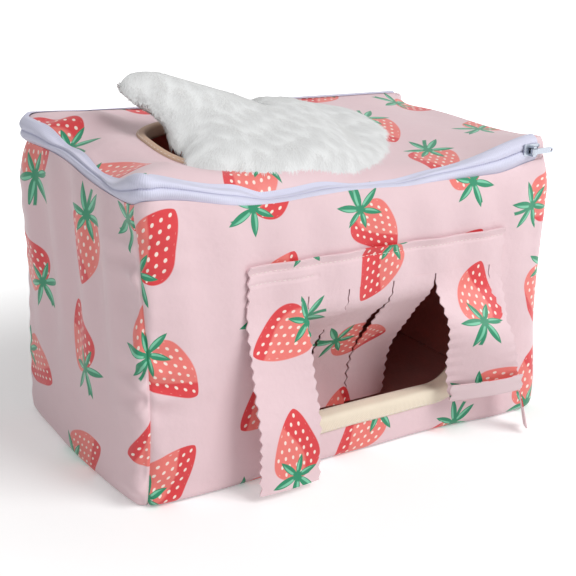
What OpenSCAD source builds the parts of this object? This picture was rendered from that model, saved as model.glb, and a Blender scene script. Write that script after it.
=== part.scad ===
// Small animal hideout: a padded fabric box with a zipped lid, a round lid hole,
// a doorway behind a cut curtain, and a plush mat pulled out over the lid.
// The origin is the middle of the base on the floor. The doorway faces -Y, and +Z is up.

/* [Box] */
// Width of the box, left to right
body_w = 300; // [260:5:340]
// Depth of the box, front to back
body_d = 160; // [150:5:200]
// Height of the fabric walls, up to the zip
wall_h = 176; // [165:1:200]
// Radius of the upright corners, seen from above
corner_r = 14; // [12:1:18]
// Radius of the roll along the bottom edge
bottom_r = 8; // [6:0.5:9]
// Depth to which the upright seams are drawn in
seam_draw = 4; // [2:0.5:5]
// Depth to which the top edges are drawn in
top_draw = 2; // [1:0.25:2.5]
// Width of the band in which a wall panel curves to its seams
edge_band = 25; // [20:1:30]

/* [Layers] */
// Thickness of the printed outer fabric
fabric_t = 0.8; // [0.5:0.1:1]
// Thickness of the padding in the walls
padding_t = 6; // [5:0.5:8]
// Thickness of the board in the base
board_t = 6; // [4:0.5:7]
// Thickness of the lining
lining_t = 0.8; // [0.5:0.1:1]
// Clearance between layers that lie on each other
layer_gap = 0.1; // [0.05:0.05:0.2]

/* [Doorway] */
// Width of the doorway
door_w = 146; // [130:2:160]
// Height of the doorway
door_h = 88; // [80:1:95]
// Middle of the doorway, to the right of the middle of the box
door_x = 12; // [0:1:15]
// Height of the sill above the floor
sill_h = 32; // [28:1:36]
// Radius of the doorway's corners
door_r = 25; // [15:1:30]
// Width of the binding on each face of the wall
binding_w = 11; // [8:0.5:13]
// Thickness of the binding
binding_t = 0.8; // [0.5:0.1:1]

/* [Curtain] */
// Height of the header that the curtain hangs from
header_h = 24; // [20:1:26]
// Thickness of the folded header
header_t = 1.6; // [1:0.1:2]
// Length by which the header hangs past the top of the doorway
header_lap = 7; // [5:0.5:9]
// Distance from the left end of the curtain to the left edge of the doorway
curtain_lap = 24; // [18:1:26]
// Width of the first strip from the left
strip_1_w = 42; // [36:1:42]
// Width of the second strip
strip_2_w = 29; // [25:1:32]
// Width of the third strip
strip_3_w = 34; // [28:1:36]
// Width of the fourth strip
strip_4_w = 33; // [28:1:36]
// Width of the fifth strip
strip_5_w = 44; // [38:1:46]
// Width of the last, narrow strip
strip_6_w = 13; // [10:1:16]
// Gap cut between two strips
slit_w = 1; // [0.6:0.1:2]
// Height of the hem of a strip that hangs outside
strip_hem = 4; // [2:0.5:10]
// Length by which the fifth strip is cut short
strip_short = 14; // [0:1:20]
// Clearance between the floor of the cabin and a strip that is tucked in
tuck_clear = 2; // [1:0.5:6]
// Distance by which the two strips on the right stray to the right
strip_stray = 28; // [0:1:30]
// Distance between the teeth of the pinked edges
pink_pitch = 7; // [5:0.5:9]
// Depth of the teeth of the pinked edges
pink_depth = 2; // [0.5:0.1:2.5]

/* [Lid] */
// Thickness of the padding in the lid
lid_padding_t = 4; // [3:0.5:6]
// Width of the zip tape that lies on the lid
lid_tape_w = 14; // [12:0.5:16]
// Distance from the zip to the edge of the lid's fabric
lid_seam = 7; // [5:0.5:8]
// Width of the band in which the lid panel curves to its seam
lid_band = 10; // [8:0.5:12]
// Smallest radius of the corners of the lid's layers
lid_corner_r = 2; // [1:0.5:4]
// Diameter of the hole in the lid
hole_d = 102; // [80:1:104]
// Middle of the hole, to the left of the middle of the box
hole_x = 52; // [40:1:60]
// Width of the binding round the hole
hole_binding_w = 8; // [6:0.5:9]

/* [Zip] */
// Thickness of the zip tape
tape_t = 0.7; // [0.4:0.1:0.8]
// Height of zip tape that shows above the wall
tape_show = 6; // [5:0.5:8]
// Depth of zip tape that is sewn in behind the wall
tape_sewn = 6.5; // [5:0.5:7]
// Diameter of a zip coil
coil_d = 2.2; // [1.8:0.1:2.4]
// Gap between the two coils
coil_gap = 1; // [0.9:0.1:1.4]
// Length of the stops at the ends of the coils
stop_l = 2; // [1.5:0.5:3]
// Diameter of the fold that the lid turns on
fold_d = 1.6; // [1.2:0.1:2]

/* [Slider] */
// Length of the slider
slider_l = 12; // [10:0.5:14]
// Thickness of the slider's plates
slider_t = 1.1; // [0.9:0.1:1.3]
// Running clearance between the slider and the coils
slider_clear = 0.5; // [0.4:0.05:0.6]
// Thickness of the wedge that parts the coils
wedge_t = 0.4; // [0.3:0.05:0.4]
// Diameter of the pin that holds the pull
pin_d = 1.4; // [1.2:0.1:1.6]
// Running clearance of the pull on its pin
pin_clear = 0.3; // [0.3:0.05:0.4]
// Length of the pull, from its pin to its tip
pull_l = 17; // [14:0.5:22]
// Height of the pull
pull_h = 3.6; // [3:0.1:3.8]
// Thickness of the pull
pull_t = 1.2; // [1:0.1:1.4]

/* [Plush mat] */
// Length of the plush mat, left to right
mat_w = 170; // [140:2:180]
// Depth of the plush mat, front to back
mat_d = 112; // [90:2:118]
// Middle of the mat, to the left of the middle of the box
mat_x = 22; // [10:1:30]
// Middle of the mat, in front of the middle of the box
mat_y = 10; // [0:1:12]
// Height of the mat's crown
mat_h = 15; // [12:1:20]
// Height of the raised left end above the crown
mat_tip = 17; // [0:1:20]
// Distance by which the raised end leans out to the left
mat_lean = 16; // [0:1:18]

/* [Hidden] */

$fn = 64;

PINK = [0.90, 0.77, 0.80];
LINING_ROSE = [0.72, 0.42, 0.44];
FOAM = [0.93, 0.91, 0.86];
CREAM = [0.94, 0.89, 0.78];
ZIP_WHITE = [0.92, 0.90, 0.96];
STEEL = [0.72, 0.72, 0.75];
FUR_WHITE = [0.96, 0.95, 0.93];

// Turns of the four walls about the upright axis, from the front wall round to the left one
WALL_TURNS = [0, 90, 180, 270];
FRONT = WALL_TURNS[0];
RIGHT = WALL_TURNS[1];
BACK = WALL_TURNS[2];
LEFT = WALL_TURNS[3];

// Clearance between pieces that move past each other
move_gap = 0.3;
// A cut runs this far past the faces that it opens
cut_past = 1;

// Depths of the layers below the box's outer face
padding_in = fabric_t + layer_gap + padding_t;
lining_out = padding_in + layer_gap;
lining_in = lining_out + lining_t;
floor_z = fabric_t + layer_gap + board_t + layer_gap;
cabin_z = floor_z + lining_t;
half_w = body_w / 2;
half_d = body_d / 2;

// Depths and heights of the zip
tape_out = top_draw + fabric_t + layer_gap;
tape_mid = tape_out + tape_t / 2;
tape_in = tape_out + tape_t;
tape_low = wall_h - tape_sewn;
tape_high = wall_h + tape_show;
coil_body_z = tape_high + layer_gap + coil_d / 2;
coil_lid_z = coil_body_z + coil_d + coil_gap;
zip_end = half_w - corner_r;
lid_z = coil_lid_z + coil_d / 2 + layer_gap;

// Heights and depths of the lid's layers
lid_layer = max(tape_t, lining_t);
lid_padding_z = lid_z + lid_layer + layer_gap;
lid_top = lid_padding_z + lid_padding_t + layer_gap + fabric_t;
lid_edge_z = lid_z + tape_t + layer_gap;
lid_edge_in = tape_out + lid_seam;
lid_tape_in = tape_out + lid_tape_w;
hinge_x = half_w - tape_mid;
hinge_z = lid_z + tape_t / 2;
lid_right = hinge_x - fold_d / 2 - 2 * move_gap;

// Places of the curtain
door_top = sill_h + door_h;
header_low = door_top - header_lap;
header_out = binding_t + 2 * layer_gap;
bead_d = fabric_t + move_gap;
axis_y = -(half_d + header_out + header_t / 2);
axis_z = header_low - move_gap - bead_d / 2;
curtain_x = door_x - door_w / 2 - curtain_lap;
strip_ws = [strip_1_w, strip_2_w, strip_3_w, strip_4_w, strip_5_w, strip_6_w];
curtain_w = total(strip_ws, len(strip_ws));

// Angles at which the strips leave the header and end, outwards below zero
outside_angles = [-15, -9.5];
tucked_angles = [38, 4];

// Shape of the bottom roll and of the panels' grids
roll_angles = [75, 56, 38, 19, 0];
band_steps = [0, 0.11, 0.22, 0.33, 0.44, 0.7, 1];

function reversed(list) = [for (i = [len(list) - 1:-1:0]) list[i]];
function total(list, count) = count == 0 ? 0 : list[count - 1] + total(list, count - 1);

// Share of full fullness at a distance from a seam: a parabola that levels out at the band's inner edge
function fullness(dist, band) = dist >= band ? 1 : 1 - pow(1 - dist / band, 2);

// Half the length of a side of the box, and that side's distance from the middle of the box
function side_half(side) = side % 180 == 0 ? half_w : half_d;
function side_away(side) = side % 180 == 0 ? half_d : half_w;

// Half the length of a wall panel, measured round the corners to its seams
function panel_half(side) = side_half(side) - corner_r + corner_r * PI / 4;

// Places along a wall panel, close together near the seams
function along(side) =
    let (reach = panel_half(side) - layer_gap / 2)
    concat(
        [for (s = band_steps) -reach + s * edge_band],
        [for (s = reversed(band_steps)) reach - s * edge_band]
    );

// A point of the box's plan: a place along one side, and a distance out from the box's outline
function plan_point(side, place, out) =
    let (
        straight = side_half(side) - corner_r,
        away = side_away(side) - corner_r,
        turn = max(0, abs(place) - straight) / corner_r * 180 / PI,
        t = sign(place) * (min(abs(place), straight) + (corner_r + out) * sin(turn)),
        n = away + (corner_r + out) * cos(turn)
    )
    side == FRONT ? [t, -n] : side == RIGHT ? [n, t] : side == BACK ? [-t, n] : [-n, -t];

// Distance by which the wall's surface lies outside the box's outline: drawn in to its top edge,
// and to its upright seams below the zip tape
function wall_out(side, place, z) =
    let (
        upper = fullness(wall_h - z, edge_band),
        lower = fullness(max(0, tape_low - z), edge_band),
        near = fullness(panel_half(side) - abs(place), edge_band)
    )
    -top_draw * (1 - upper) - seam_draw * (1 - near) * lower;

// Rows of a wall panel, from the bottom roll to the top edge: distance out, height and roll angle
wall_rows = concat(
    [for (a = roll_angles) [-bottom_r * (1 - cos(a)), bottom_r * (1 - sin(a)), a]],
    [for (s = reversed(band_steps)) [0, wall_h - s * edge_band, 0]]
);

// Faces of a closed sheet with an outer and an inner grid of points
function sheet_faces(rows, cols) =
    let (back = rows * cols, last = rows - 1, end = cols - 1)
    concat(
        [for (i = [0:last - 1], j = [0:end - 1]) each let (a = i * cols + j)
            [[a, a + cols, a + 1], [a + 1, a + cols, a + cols + 1]]],
        [for (i = [0:last - 1], j = [0:end - 1]) each let (a = back + i * cols + j)
            [[a, a + 1, a + cols], [a + 1, a + cols + 1, a + cols]]],
        [for (i = [0:last - 1]) each let (a = i * cols, b = a + end)
            [[a, a + back, a + cols], [a + cols, a + back, a + back + cols],
             [b, b + cols, b + back], [b + cols, b + back + cols, b + back]]],
        [for (j = [0:end - 1]) each let (a = j, b = last * cols + j)
            [[a, a + 1, a + back], [a + 1, a + back + 1, a + back],
             [b, b + back, b + 1], [b + 1, b + back, b + back + 1]]]
    );

// A wall's printed fabric: full in the middle, drawn in at its seams and rolled under at the bottom
module wall_panel(side) {
    places = along(side);
    outer = [for (r = wall_rows, p = places) concat(
        plan_point(side, p, r[0] + wall_out(side, p, r[1])), r[1])];
    inner = [for (r = wall_rows, p = places) concat(
        plan_point(side, p, r[0] + wall_out(side, p, r[1]) - fabric_t * cos(r[2])),
        r[1] + fabric_t * sin(r[2]))];
    polyhedron(concat(outer, inner), sheet_faces(len(wall_rows), len(places)));
}

// Places a wall piece drawn for the front onto one of the four sides
module on_side(side) {
    rotate(side) children();
}

// A wall's padding: a slab against the lining with a fuller middle against the fabric
module wall_padding(side) {
    end = side_half(side) - corner_r;
    full = panel_half(side) - edge_band;
    low = bottom_r + fabric_t;
    slim = tape_in + layer_gap;
    on_side(side) translate([0, -side_away(side), low]) hull() {
        translate([-end, slim, 0]) cube([2 * end, padding_in - slim, tape_low - move_gap - low]);
        translate([-full, fabric_t + layer_gap, 0])
            cube([2 * full, padding_in - slim, wall_h - edge_band - low]);
    }
}

// A wall's lining: a flat sheet that ends short of the corner seams
module wall_lining(side) {
    room = corner_r - seam_draw - fabric_t - move_gap;
    end = side_half(side) - corner_r + sqrt(pow(room, 2) - pow(corner_r - lining_out, 2));
    on_side(side) translate([-end, -side_away(side) + lining_out, cabin_z + layer_gap])
        cube([2 * end, lining_t, wall_h - cabin_z - layer_gap]);
}

// A rectangle with round corners, with its lower left corner at the origin before it grows all round
module round_rect(w, h, r, grow) {
    translate([-grow, -grow]) union() {
        translate([r + grow, 0]) square([w - 2 * r, h + 2 * grow]);
        translate([0, r + grow]) square([w + 2 * grow, h - 2 * r]);
        for (x = [r + grow, w + grow - r], y = [r + grow, h + grow - r]) translate([x, y]) circle(r + grow);
    }
}

// The doorway's outline, grown all round, carried through the front wall between two depths
module doorway(grow, from, to) {
    translate([door_x - door_w / 2, -half_d + to, sill_h]) rotate([90, 0, 0])
        linear_extrude(to - from) round_rect(door_w, door_h, door_r, grow);
}

module doorway_cut() {
    doorway(binding_t + layer_gap, -cut_past - fabric_t, lining_in + cut_past);
}

module front_panel() {
    color(PINK) difference() {
        wall_panel(FRONT);
        doorway_cut();
    }
}

module back_panel() {
    color(PINK) wall_panel(BACK);
}

module left_panel() {
    color(PINK) wall_panel(LEFT);
}

module right_panel() {
    color(PINK) wall_panel(RIGHT);
}

// Outline of the base inside the bottom roll, drawn in at the corners as the walls are
function base_outline(inset) =
    let (edge = -bottom_r * (1 - cos(roll_angles[0])) - inset)
    [for (side = [FRONT, RIGHT, BACK, LEFT], p = along(side)) plan_point(side, p, edge + wall_out(side, p, 0))];

module base_panel() {
    color(PINK) linear_extrude(fabric_t) polygon(base_outline(move_gap + layer_gap));
}

module front_padding() {
    color(FOAM) difference() {
        wall_padding(FRONT);
        doorway_cut();
    }
}

module back_padding() {
    color(FOAM) wall_padding(BACK);
}

module left_padding() {
    color(FOAM) wall_padding(LEFT);
}

module right_padding() {
    color(FOAM) wall_padding(RIGHT);
}

module base_board() {
    color(FOAM) translate([0, 0, fabric_t + layer_gap]) linear_extrude(board_t)
        polygon(base_outline(fabric_t + move_gap + layer_gap));
}

module front_lining() {
    color(LINING_ROSE) difference() {
        wall_lining(FRONT);
        doorway_cut();
    }
}

module back_lining() {
    color(LINING_ROSE) wall_lining(BACK);
}

module left_lining() {
    color(LINING_ROSE) wall_lining(LEFT);
}

module right_lining() {
    color(LINING_ROSE) wall_lining(RIGHT);
}

module base_lining() {
    x = half_w - lining_in;
    y = half_d - lining_in;
    color(LINING_ROSE) translate([-x, -y, floor_z]) cube([2 * x, 2 * y, lining_t]);
}

// The doorway's binding: a sleeve through the wall with a flange on each face
module entrance_binding() {
    outer_face = -layer_gap - binding_t;
    inner_face = lining_in + layer_gap + binding_t;
    color(CREAM) difference() {
        union() {
            doorway(binding_w, outer_face, -layer_gap);
            doorway(binding_t, outer_face, inner_face);
            doorway(binding_w, lining_in + layer_gap, inner_face);
        }
        doorway(0, outer_face - cut_past, inner_face + cut_past);
    }
}

// The curtain's folded header, sewn on above the doorway
module curtain_header() {
    color(PINK) translate([curtain_x, -half_d - header_out - header_t, header_low])
        cube([curtain_w, header_t, header_h]);
}

// Mean of the cosine along a strip whose angle changes evenly
function mean_cos(angles) = (sin(angles[1]) - sin(angles[0])) / ((angles[1] - angles[0]) * PI / 180);

// Points down a strip of the given length, as [y, z, angle], starting at its turning axis
function strip_walk(i, steps, length, angles) =
    i == 0 ? [0, 0, angles[0]] :
    let (
        last = strip_walk(i - 1, steps, length, angles),
        a = angles[0] + (angles[1] - angles[0]) * (i - 0.5) / steps
    )
    [last[0] + sin(a) * length / steps, last[1] - cos(a) * length / steps, a];

// A strip of the curtain with pinked edges, and a round head where it turns under the header
module curtain_strip(number, angles, drop, stray) {
    left = curtain_x + total(strip_ws, number - 1) + slit_w / 2;
    width = strip_ws[number - 1] - slit_w;
    length = drop / mean_cos(angles);
    steps = 2 * round(length / pink_pitch);
    rows = [for (i = [0:steps]) strip_walk(i, steps, length, angles)];
    edge = function (i, face) let (
        r = rows[i],
        tooth = i % 2 * pink_depth / 2,
        x = left + stray * pow(-r[1] / outside_drop, 1.5),
        y = axis_y + r[0] + face * cos(r[2]) * fabric_t / 2,
        z = axis_z + r[1] + face * sin(r[2]) * fabric_t / 2
    ) [[x + tooth, y, z], [x + width - tooth, y, z]];
    outer = [for (i = [steps:-1:0]) each edge(i, -1)];
    inner = [for (i = [steps:-1:0]) each edge(i, 1)];
    color(PINK) union() {
        polyhedron(concat(outer, inner), sheet_faces(steps + 1, 2));
        translate([left, axis_y, axis_z]) rotate([0, 90, 0]) cylinder(d = bead_d, h = width);
    }
}

outside_drop = axis_z - strip_hem;
tucked_drop = axis_z - cabin_z - tuck_clear;

module curtain_strip_1() {
    curtain_strip(1, outside_angles, outside_drop, 0);
}

module curtain_strip_2() {
    curtain_strip(2, tucked_angles, tucked_drop, 0);
}

module curtain_strip_3() {
    curtain_strip(3, tucked_angles, tucked_drop, 0);
}

module curtain_strip_4() {
    curtain_strip(4, tucked_angles, tucked_drop, 0);
}

module curtain_strip_5() {
    curtain_strip(5, outside_angles, outside_drop - strip_short, strip_stray);
}

module curtain_strip_6() {
    curtain_strip(6, outside_angles, outside_drop, strip_stray);
}

// The box's outline in plan, drawn in by a depth
module plan(inset) {
    r = corner_r - inset;
    square([body_w - 2 * inset, 2 * (half_d - corner_r)], center = true);
    square([2 * (half_w - corner_r), body_d - 2 * inset], center = true);
    for (x = [-1, 1], y = [-1, 1]) translate([x * (half_w - corner_r), y * (half_d - corner_r)]) circle(r);
}

// A band of the box's outline between two depths
module plan_ring(outer, inner) {
    difference() {
        plan(outer);
        plan(inner);
    }
}

// The part of the plan to the left of a place across the box
module left_of(x) {
    translate([-body_w, -body_d]) square([body_w + x, 2 * body_d]);
}

module zip_tape_body() {
    color(ZIP_WHITE) translate([0, 0, tape_low]) linear_extrude(tape_high - tape_low) intersection() {
        plan_ring(tape_out, tape_in);
        left_of(zip_end);
    }
}

// A round coil along the zip's run, at one height
module coil(z) {
    run = half_w - corner_r + zip_end;
    translate([0, 0, z]) {
        for (y = [-1, 1]) {
            translate([corner_r - half_w, y * (half_d - tape_mid), 0]) rotate([0, 90, 0])
                cylinder(d = coil_d, h = run);
            translate([corner_r - half_w, y * (half_d - corner_r), 0]) rotate(y > 0 ? 90 : 180)
                rotate_extrude(angle = 90) translate([corner_r - tape_mid, 0]) circle(d = coil_d);
        }
        translate([tape_mid - half_w, corner_r - half_d, 0]) rotate([-90, 0, 0])
            cylinder(d = coil_d, h = 2 * (half_d - corner_r));
    }
}

module zip_coil_body() {
    color(ZIP_WHITE) coil(coil_body_z);
}

// Two stops that close off a coil's ends
module zip_stops(z) {
    for (y = [-1, 1])
        translate([zip_end + layer_gap, y * (half_d - tape_mid) - coil_d / 2, z - coil_d / 2])
            cube([stop_l, coil_d, coil_d]);
}

module zip_stops_body() {
    color(STEEL) zip_stops(coil_body_z);
}

// The fabric strip that joins the right wall to the lid, with the fold that the lid turns on
module lid_hinge_strip() {
    run = 2 * (half_d - corner_r);
    color(ZIP_WHITE) union() {
        translate([0, 0, tape_low]) linear_extrude(tape_high - tape_low) intersection() {
            plan_ring(tape_out, tape_in);
            translate([zip_end + layer_gap, -body_d]) square([body_w, 2 * body_d]);
        }
        translate([hinge_x - tape_t / 2, -run / 2, tape_low]) cube([tape_t, run, hinge_z - tape_low]);
        translate([hinge_x, -run / 2, hinge_z]) rotate([-90, 0, 0]) cylinder(d = fold_d, h = run);
    }
}

// The lid's outline in plan: drawn in by a depth on three sides, and ending at the hinge on the right
module lid_plan(inset) {
    right = lid_right - max(0, inset - lid_edge_in);
    translate([-half_w + inset, -half_d + inset])
        round_rect(half_w - inset + right, body_d - 2 * inset, max(corner_r - inset, lid_corner_r), 0);
}

// The hole in the lid, through all its layers, grown for the binding
module hole_cut(grow) {
    translate([-hole_x, 0, lid_z - cut_past]) cylinder(d = hole_d + 2 * grow, h = lid_top - lid_z + 2 * cut_past);
}

// Places across the lid, close together near its seams
function lid_places(low, high) = concat(
    [for (s = band_steps) low + s * lid_band],
    [for (s = reversed(band_steps)) high - s * lid_band]
);

// The lid's printed fabric: level over the padding and curved down to its seam all round
module lid_panel() {
    left = -half_w + lid_edge_in;
    front = -half_d + lid_edge_in;
    xs = lid_places(left, lid_right);
    ys = lid_places(front, -front);
    rise = lid_top - fabric_t - lid_edge_z;
    height = function (x, y) lid_edge_z + rise
        * fullness(min(x - left, lid_right - x), lid_band)
        * fullness(min(y - front, -front - y), lid_band);
    outer = [for (y = ys, x = xs) [x, y, height(x, y) + fabric_t]];
    inner = [for (y = ys, x = xs) [x, y, height(x, y)]];
    color(PINK) difference() {
        polyhedron(concat(outer, inner), sheet_faces(len(ys), len(xs)));
        hole_cut(binding_t + layer_gap);
    }
}

// The lid's padding, narrower at the top so that the fabric can curve over it
module lid_padding() {
    low = lid_edge_in + lid_band / 2;
    high = lid_edge_in + lid_band;
    color(FOAM) difference() {
        translate([0, 0, lid_padding_z]) hull() {
            linear_extrude(layer_gap) lid_plan(low);
            translate([0, 0, lid_padding_t - layer_gap]) linear_extrude(layer_gap) lid_plan(high);
        }
        hole_cut(binding_t + layer_gap);
    }
}

module lid_lining() {
    color(LINING_ROSE) difference() {
        translate([0, 0, lid_z]) linear_extrude(lining_t) lid_plan(lid_tape_in + move_gap);
        hole_cut(binding_t + layer_gap);
    }
}

// The binding round the lid's hole: a sleeve with a flange above and below the lid
module lid_hole_binding() {
    low = lid_z - layer_gap - binding_t;
    high = lid_top + layer_gap;
    r = hole_d / 2;
    color(CREAM) translate([-hole_x, 0, 0]) rotate_extrude() union() {
        translate([r, low]) square([hole_binding_w, binding_t]);
        translate([r, low]) square([binding_t, high + binding_t - low]);
        translate([r, high]) square([hole_binding_w, binding_t]);
    }
}

module zip_tape_lid() {
    color(ZIP_WHITE) translate([0, 0, lid_z]) linear_extrude(tape_t) intersection() {
        difference() {
            plan(tape_mid - coil_d / 2);
            lid_plan(lid_tape_in);
        }
        left_of(lid_right);
    }
}

module zip_coil_lid() {
    color(ZIP_WHITE) coil(coil_lid_z);
}

module zip_stops_lid() {
    color(STEEL) zip_stops(coil_lid_z);
}

// Places of the slider's plates, and of the pin that its pull turns on
slider_x = zip_end - slider_l / 2 - 2 * move_gap;
coil_y = -(half_d - tape_mid);
plate_y = coil_d / 2 + slider_clear;
slider_low = tape_high - 1.5 * slider_t;
slider_high = lid_z - 2 * move_gap;
eye_d = pin_d + 2 * pin_clear + 2 * pull_t;
pin_y = coil_y - plate_y - slider_t - move_gap - eye_d / 2;
pin_z = (slider_low + slider_high) / 2;

// The slider: a plate on each side of the coils, joined by a wedge between them, with lugs for the pull
module zip_slider() {
    lug = pull_h / 2 + move_gap;
    arm = coil_y - plate_y - pin_y + pin_d / 2;
    color(STEEL) union() {
        translate([slider_x - slider_l / 2, coil_y - plate_y - slider_t, slider_low])
            cube([slider_l, slider_t, slider_high + slider_t - slider_low]);
        translate([slider_x - slider_l / 2, coil_y + plate_y, slider_low])
            cube([slider_l, slider_t, slider_high - slider_low]);
        translate([slider_x, coil_y - plate_y - slider_t / 2, coil_lid_z - (coil_d + coil_gap + wedge_t) / 2])
            cube([slider_l / 3, 2 * plate_y + slider_t, wedge_t]);
        for (z = [pin_z - lug - slider_t, pin_z + lug])
            translate([slider_x - pin_d / 2 - slider_t / 2, pin_y - pin_d / 2, z])
                cube([pin_d + slider_t, arm, slider_t]);
        translate([slider_x, pin_y, pin_z - lug - slider_t / 2]) cylinder(d = pin_d, h = 2 * lug + slider_t);
    }
}

// The pull: an eye round the slider's pin and a flat tab with a round end and a hole
module zip_pull() {
    color(STEEL) translate([slider_x, pin_y, pin_z - pull_h / 2]) difference() {
        union() {
            cylinder(d = eye_d, h = pull_h);
            translate([0, -pull_t / 2, 0]) cube([pull_l - pull_h / 2, pull_t, pull_h]);
            translate([pull_l - pull_h / 2, pull_t / 2, pull_h / 2]) rotate([90, 0, 0])
                cylinder(d = pull_h, h = pull_t);
        }
        translate([0, 0, -cut_past]) cylinder(d = pin_d + 2 * pin_clear, h = pull_h + 2 * cut_past);
        translate([pull_l - pull_h / 2, pull_t, pull_h / 2]) rotate([90, 0, 0])
            cylinder(d = pull_h / 2, h = 2 * pull_t);
    }
}

// The plush mat's surface: an oval with a crown, a notch across it and a raised left end that leans out
mat_z = lid_top + layer_gap + binding_t + move_gap;
mat_rim = 6;
mat_sides = 36;
mat_angles = [-55, -25, 0, 18, 34, 48, 61, 73, 83];

function mat_point(a, turn) =
    let (
        far = pow(cos(a), 0.7),
        wave = 1 + 0.05 * sin(2 * turn + 40) + 0.03 * sin(5 * turn),
        u = far * wave * cos(turn),
        v = far * wave * sin(turn),
        tip = mat_tip * exp(-pow((u + 0.72) / 0.38, 2) - pow((v - 0.25) / 0.55, 2)),
        notch = 0.22 * mat_h * exp(-pow((u - 0.05) / 0.16, 2)),
        lift = sin(a) > 0 ? pow(sin(a), 0.75) : 0,
        rim = sin(a) > 0 ? mat_rim : mat_rim * (1 - pow(-sin(a), 0.6))
    )
    [
        -mat_x + u * mat_w / 2 - mat_lean * lift * exp(-pow((u + 0.8) / 0.4, 2)),
        -mat_y + v * mat_d / 2,
        mat_z + rim + lift * (mat_h + tip - notch)
    ];

module plush_mat() {
    rows = len(mat_angles);
    ring = [for (a = mat_angles, i = [0:mat_sides - 1]) mat_point(a, i * 360 / mat_sides)];
    low = rows * mat_sides;
    high = low + 1;
    last = (rows - 1) * mat_sides;
    next = function (i) (i + 1) % mat_sides;
    color(FUR_WHITE) polyhedron(
        concat(ring, [[-mat_x, -mat_y, mat_z], mat_point(90, 0)]),
        concat(
            [for (k = [0:rows - 2], i = [0:mat_sides - 1]) each
                let (a = k * mat_sides + i, b = k * mat_sides + next(i))
                [[a, a + mat_sides, b], [b, a + mat_sides, b + mat_sides]]],
            [for (i = [0:mat_sides - 1]) [low, i, next(i)]],
            [for (i = [0:mat_sides - 1]) [high, last + next(i), last + i]]
        )
    );
}

front_panel();
back_panel();
left_panel();
right_panel();
base_panel();
front_padding();
back_padding();
left_padding();
right_padding();
base_board();
front_lining();
back_lining();
left_lining();
right_lining();
base_lining();
entrance_binding();
curtain_header();
curtain_strip_1();
curtain_strip_2();
curtain_strip_3();
curtain_strip_4();
curtain_strip_5();
curtain_strip_6();
zip_tape_body();
zip_coil_body();
zip_stops_body();
lid_hinge_strip();
lid_panel();
lid_padding();
lid_lining();
lid_hole_binding();
zip_tape_lid();
zip_coil_lid();
zip_stops_lid();
zip_slider();
zip_pull();
plush_mat();
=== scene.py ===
"""A small animal hideout: a soft printed box with a zipped lid, a curtained doorway and a plush mat.

Everything is in metres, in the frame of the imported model: the doorway faces -Y and +Z is up.
"""

import bpy
import numpy as np
from mathutils import Matrix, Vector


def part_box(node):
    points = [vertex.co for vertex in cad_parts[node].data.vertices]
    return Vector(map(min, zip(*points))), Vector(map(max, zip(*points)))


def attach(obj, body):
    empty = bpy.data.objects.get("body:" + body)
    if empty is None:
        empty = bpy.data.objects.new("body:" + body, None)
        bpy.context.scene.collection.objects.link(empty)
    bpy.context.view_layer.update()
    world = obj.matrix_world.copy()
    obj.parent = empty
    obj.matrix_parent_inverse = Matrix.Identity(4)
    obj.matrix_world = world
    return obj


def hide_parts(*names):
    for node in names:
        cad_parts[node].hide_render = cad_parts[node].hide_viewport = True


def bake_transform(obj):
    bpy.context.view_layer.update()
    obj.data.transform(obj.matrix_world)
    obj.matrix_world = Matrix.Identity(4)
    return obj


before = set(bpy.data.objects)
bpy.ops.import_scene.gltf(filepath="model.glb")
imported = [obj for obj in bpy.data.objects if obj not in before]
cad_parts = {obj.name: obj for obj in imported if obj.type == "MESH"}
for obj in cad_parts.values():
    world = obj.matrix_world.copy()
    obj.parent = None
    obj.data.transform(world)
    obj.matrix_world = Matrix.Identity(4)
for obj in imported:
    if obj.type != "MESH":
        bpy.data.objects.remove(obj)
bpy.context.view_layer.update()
scene = bpy.context.scene


# Studio
# A pale floor that runs out of view under a soft, even sky, with one broad lamp to the front
# and right and a weak one to the left. The camera stands where the photographer stood.
camera_azimuth, camera_elevation, camera_roll = np.radians([-34.605, 18.86, 2.617])
camera_distance, camera_aim = 0.7052, np.array([0, 0, 0.09])
focal_share = 1059.6 / 576  # focal length over the picture's width
camera_shift = -0.0027, -0.0111  # over the picture's width


def unit(vectors):
    """Vectors scaled to a length of 1."""
    return vectors / (np.linalg.norm(vectors, axis=-1, keepdims=True) + 1e-12)


def standing(right, back, place):
    """The matrix of a thing at a place, with its x turned to the right and its z to the back."""
    turn = np.stack([right, np.cross(back, right), back], 1)
    return Matrix([[*row, at] for row, at in zip(turn, place)] + [[0, 0, 0, 1]])


camera_back = np.array([
    np.sin(camera_azimuth) * np.cos(camera_elevation),
    -np.cos(camera_azimuth) * np.cos(camera_elevation),
    np.sin(camera_elevation),
])
level_right = np.array([np.cos(camera_azimuth), np.sin(camera_azimuth), 0])
level_up = np.cross(camera_back, level_right)
camera_right = np.cos(camera_roll) * level_right + np.sin(camera_roll) * level_up
camera_data = bpy.data.cameras.new("camera")
camera_data.lens = camera_data.sensor_width * focal_share
camera_data.shift_x, camera_data.shift_y = camera_shift
camera = bpy.data.objects.new("camera", camera_data)
camera.matrix_world = standing(camera_right, camera_back, camera_aim + camera_distance * camera_back)
scene.collection.objects.link(camera)
scene.camera = camera
scene.view_settings.view_transform = "Standard"


def lamp(name, place, size, power):
    """A square soft lamp at a place, turned to face the middle of the object."""
    data = bpy.data.lights.new(name, "AREA")
    data.size, data.energy = size, power
    lit = bpy.data.objects.new(name, data)
    back = unit(np.array(place) - camera_aim)
    lit.matrix_world = standing(unit(np.cross([0, 0, 1], back)), back, place)
    scene.collection.objects.link(lit)


lamp("key_lamp", (0.9, -1.5, 1.7), 1.3, 35)
lamp("fill_lamp", (-1.6, -1.1, 1.0), 1.2, 3)


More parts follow.
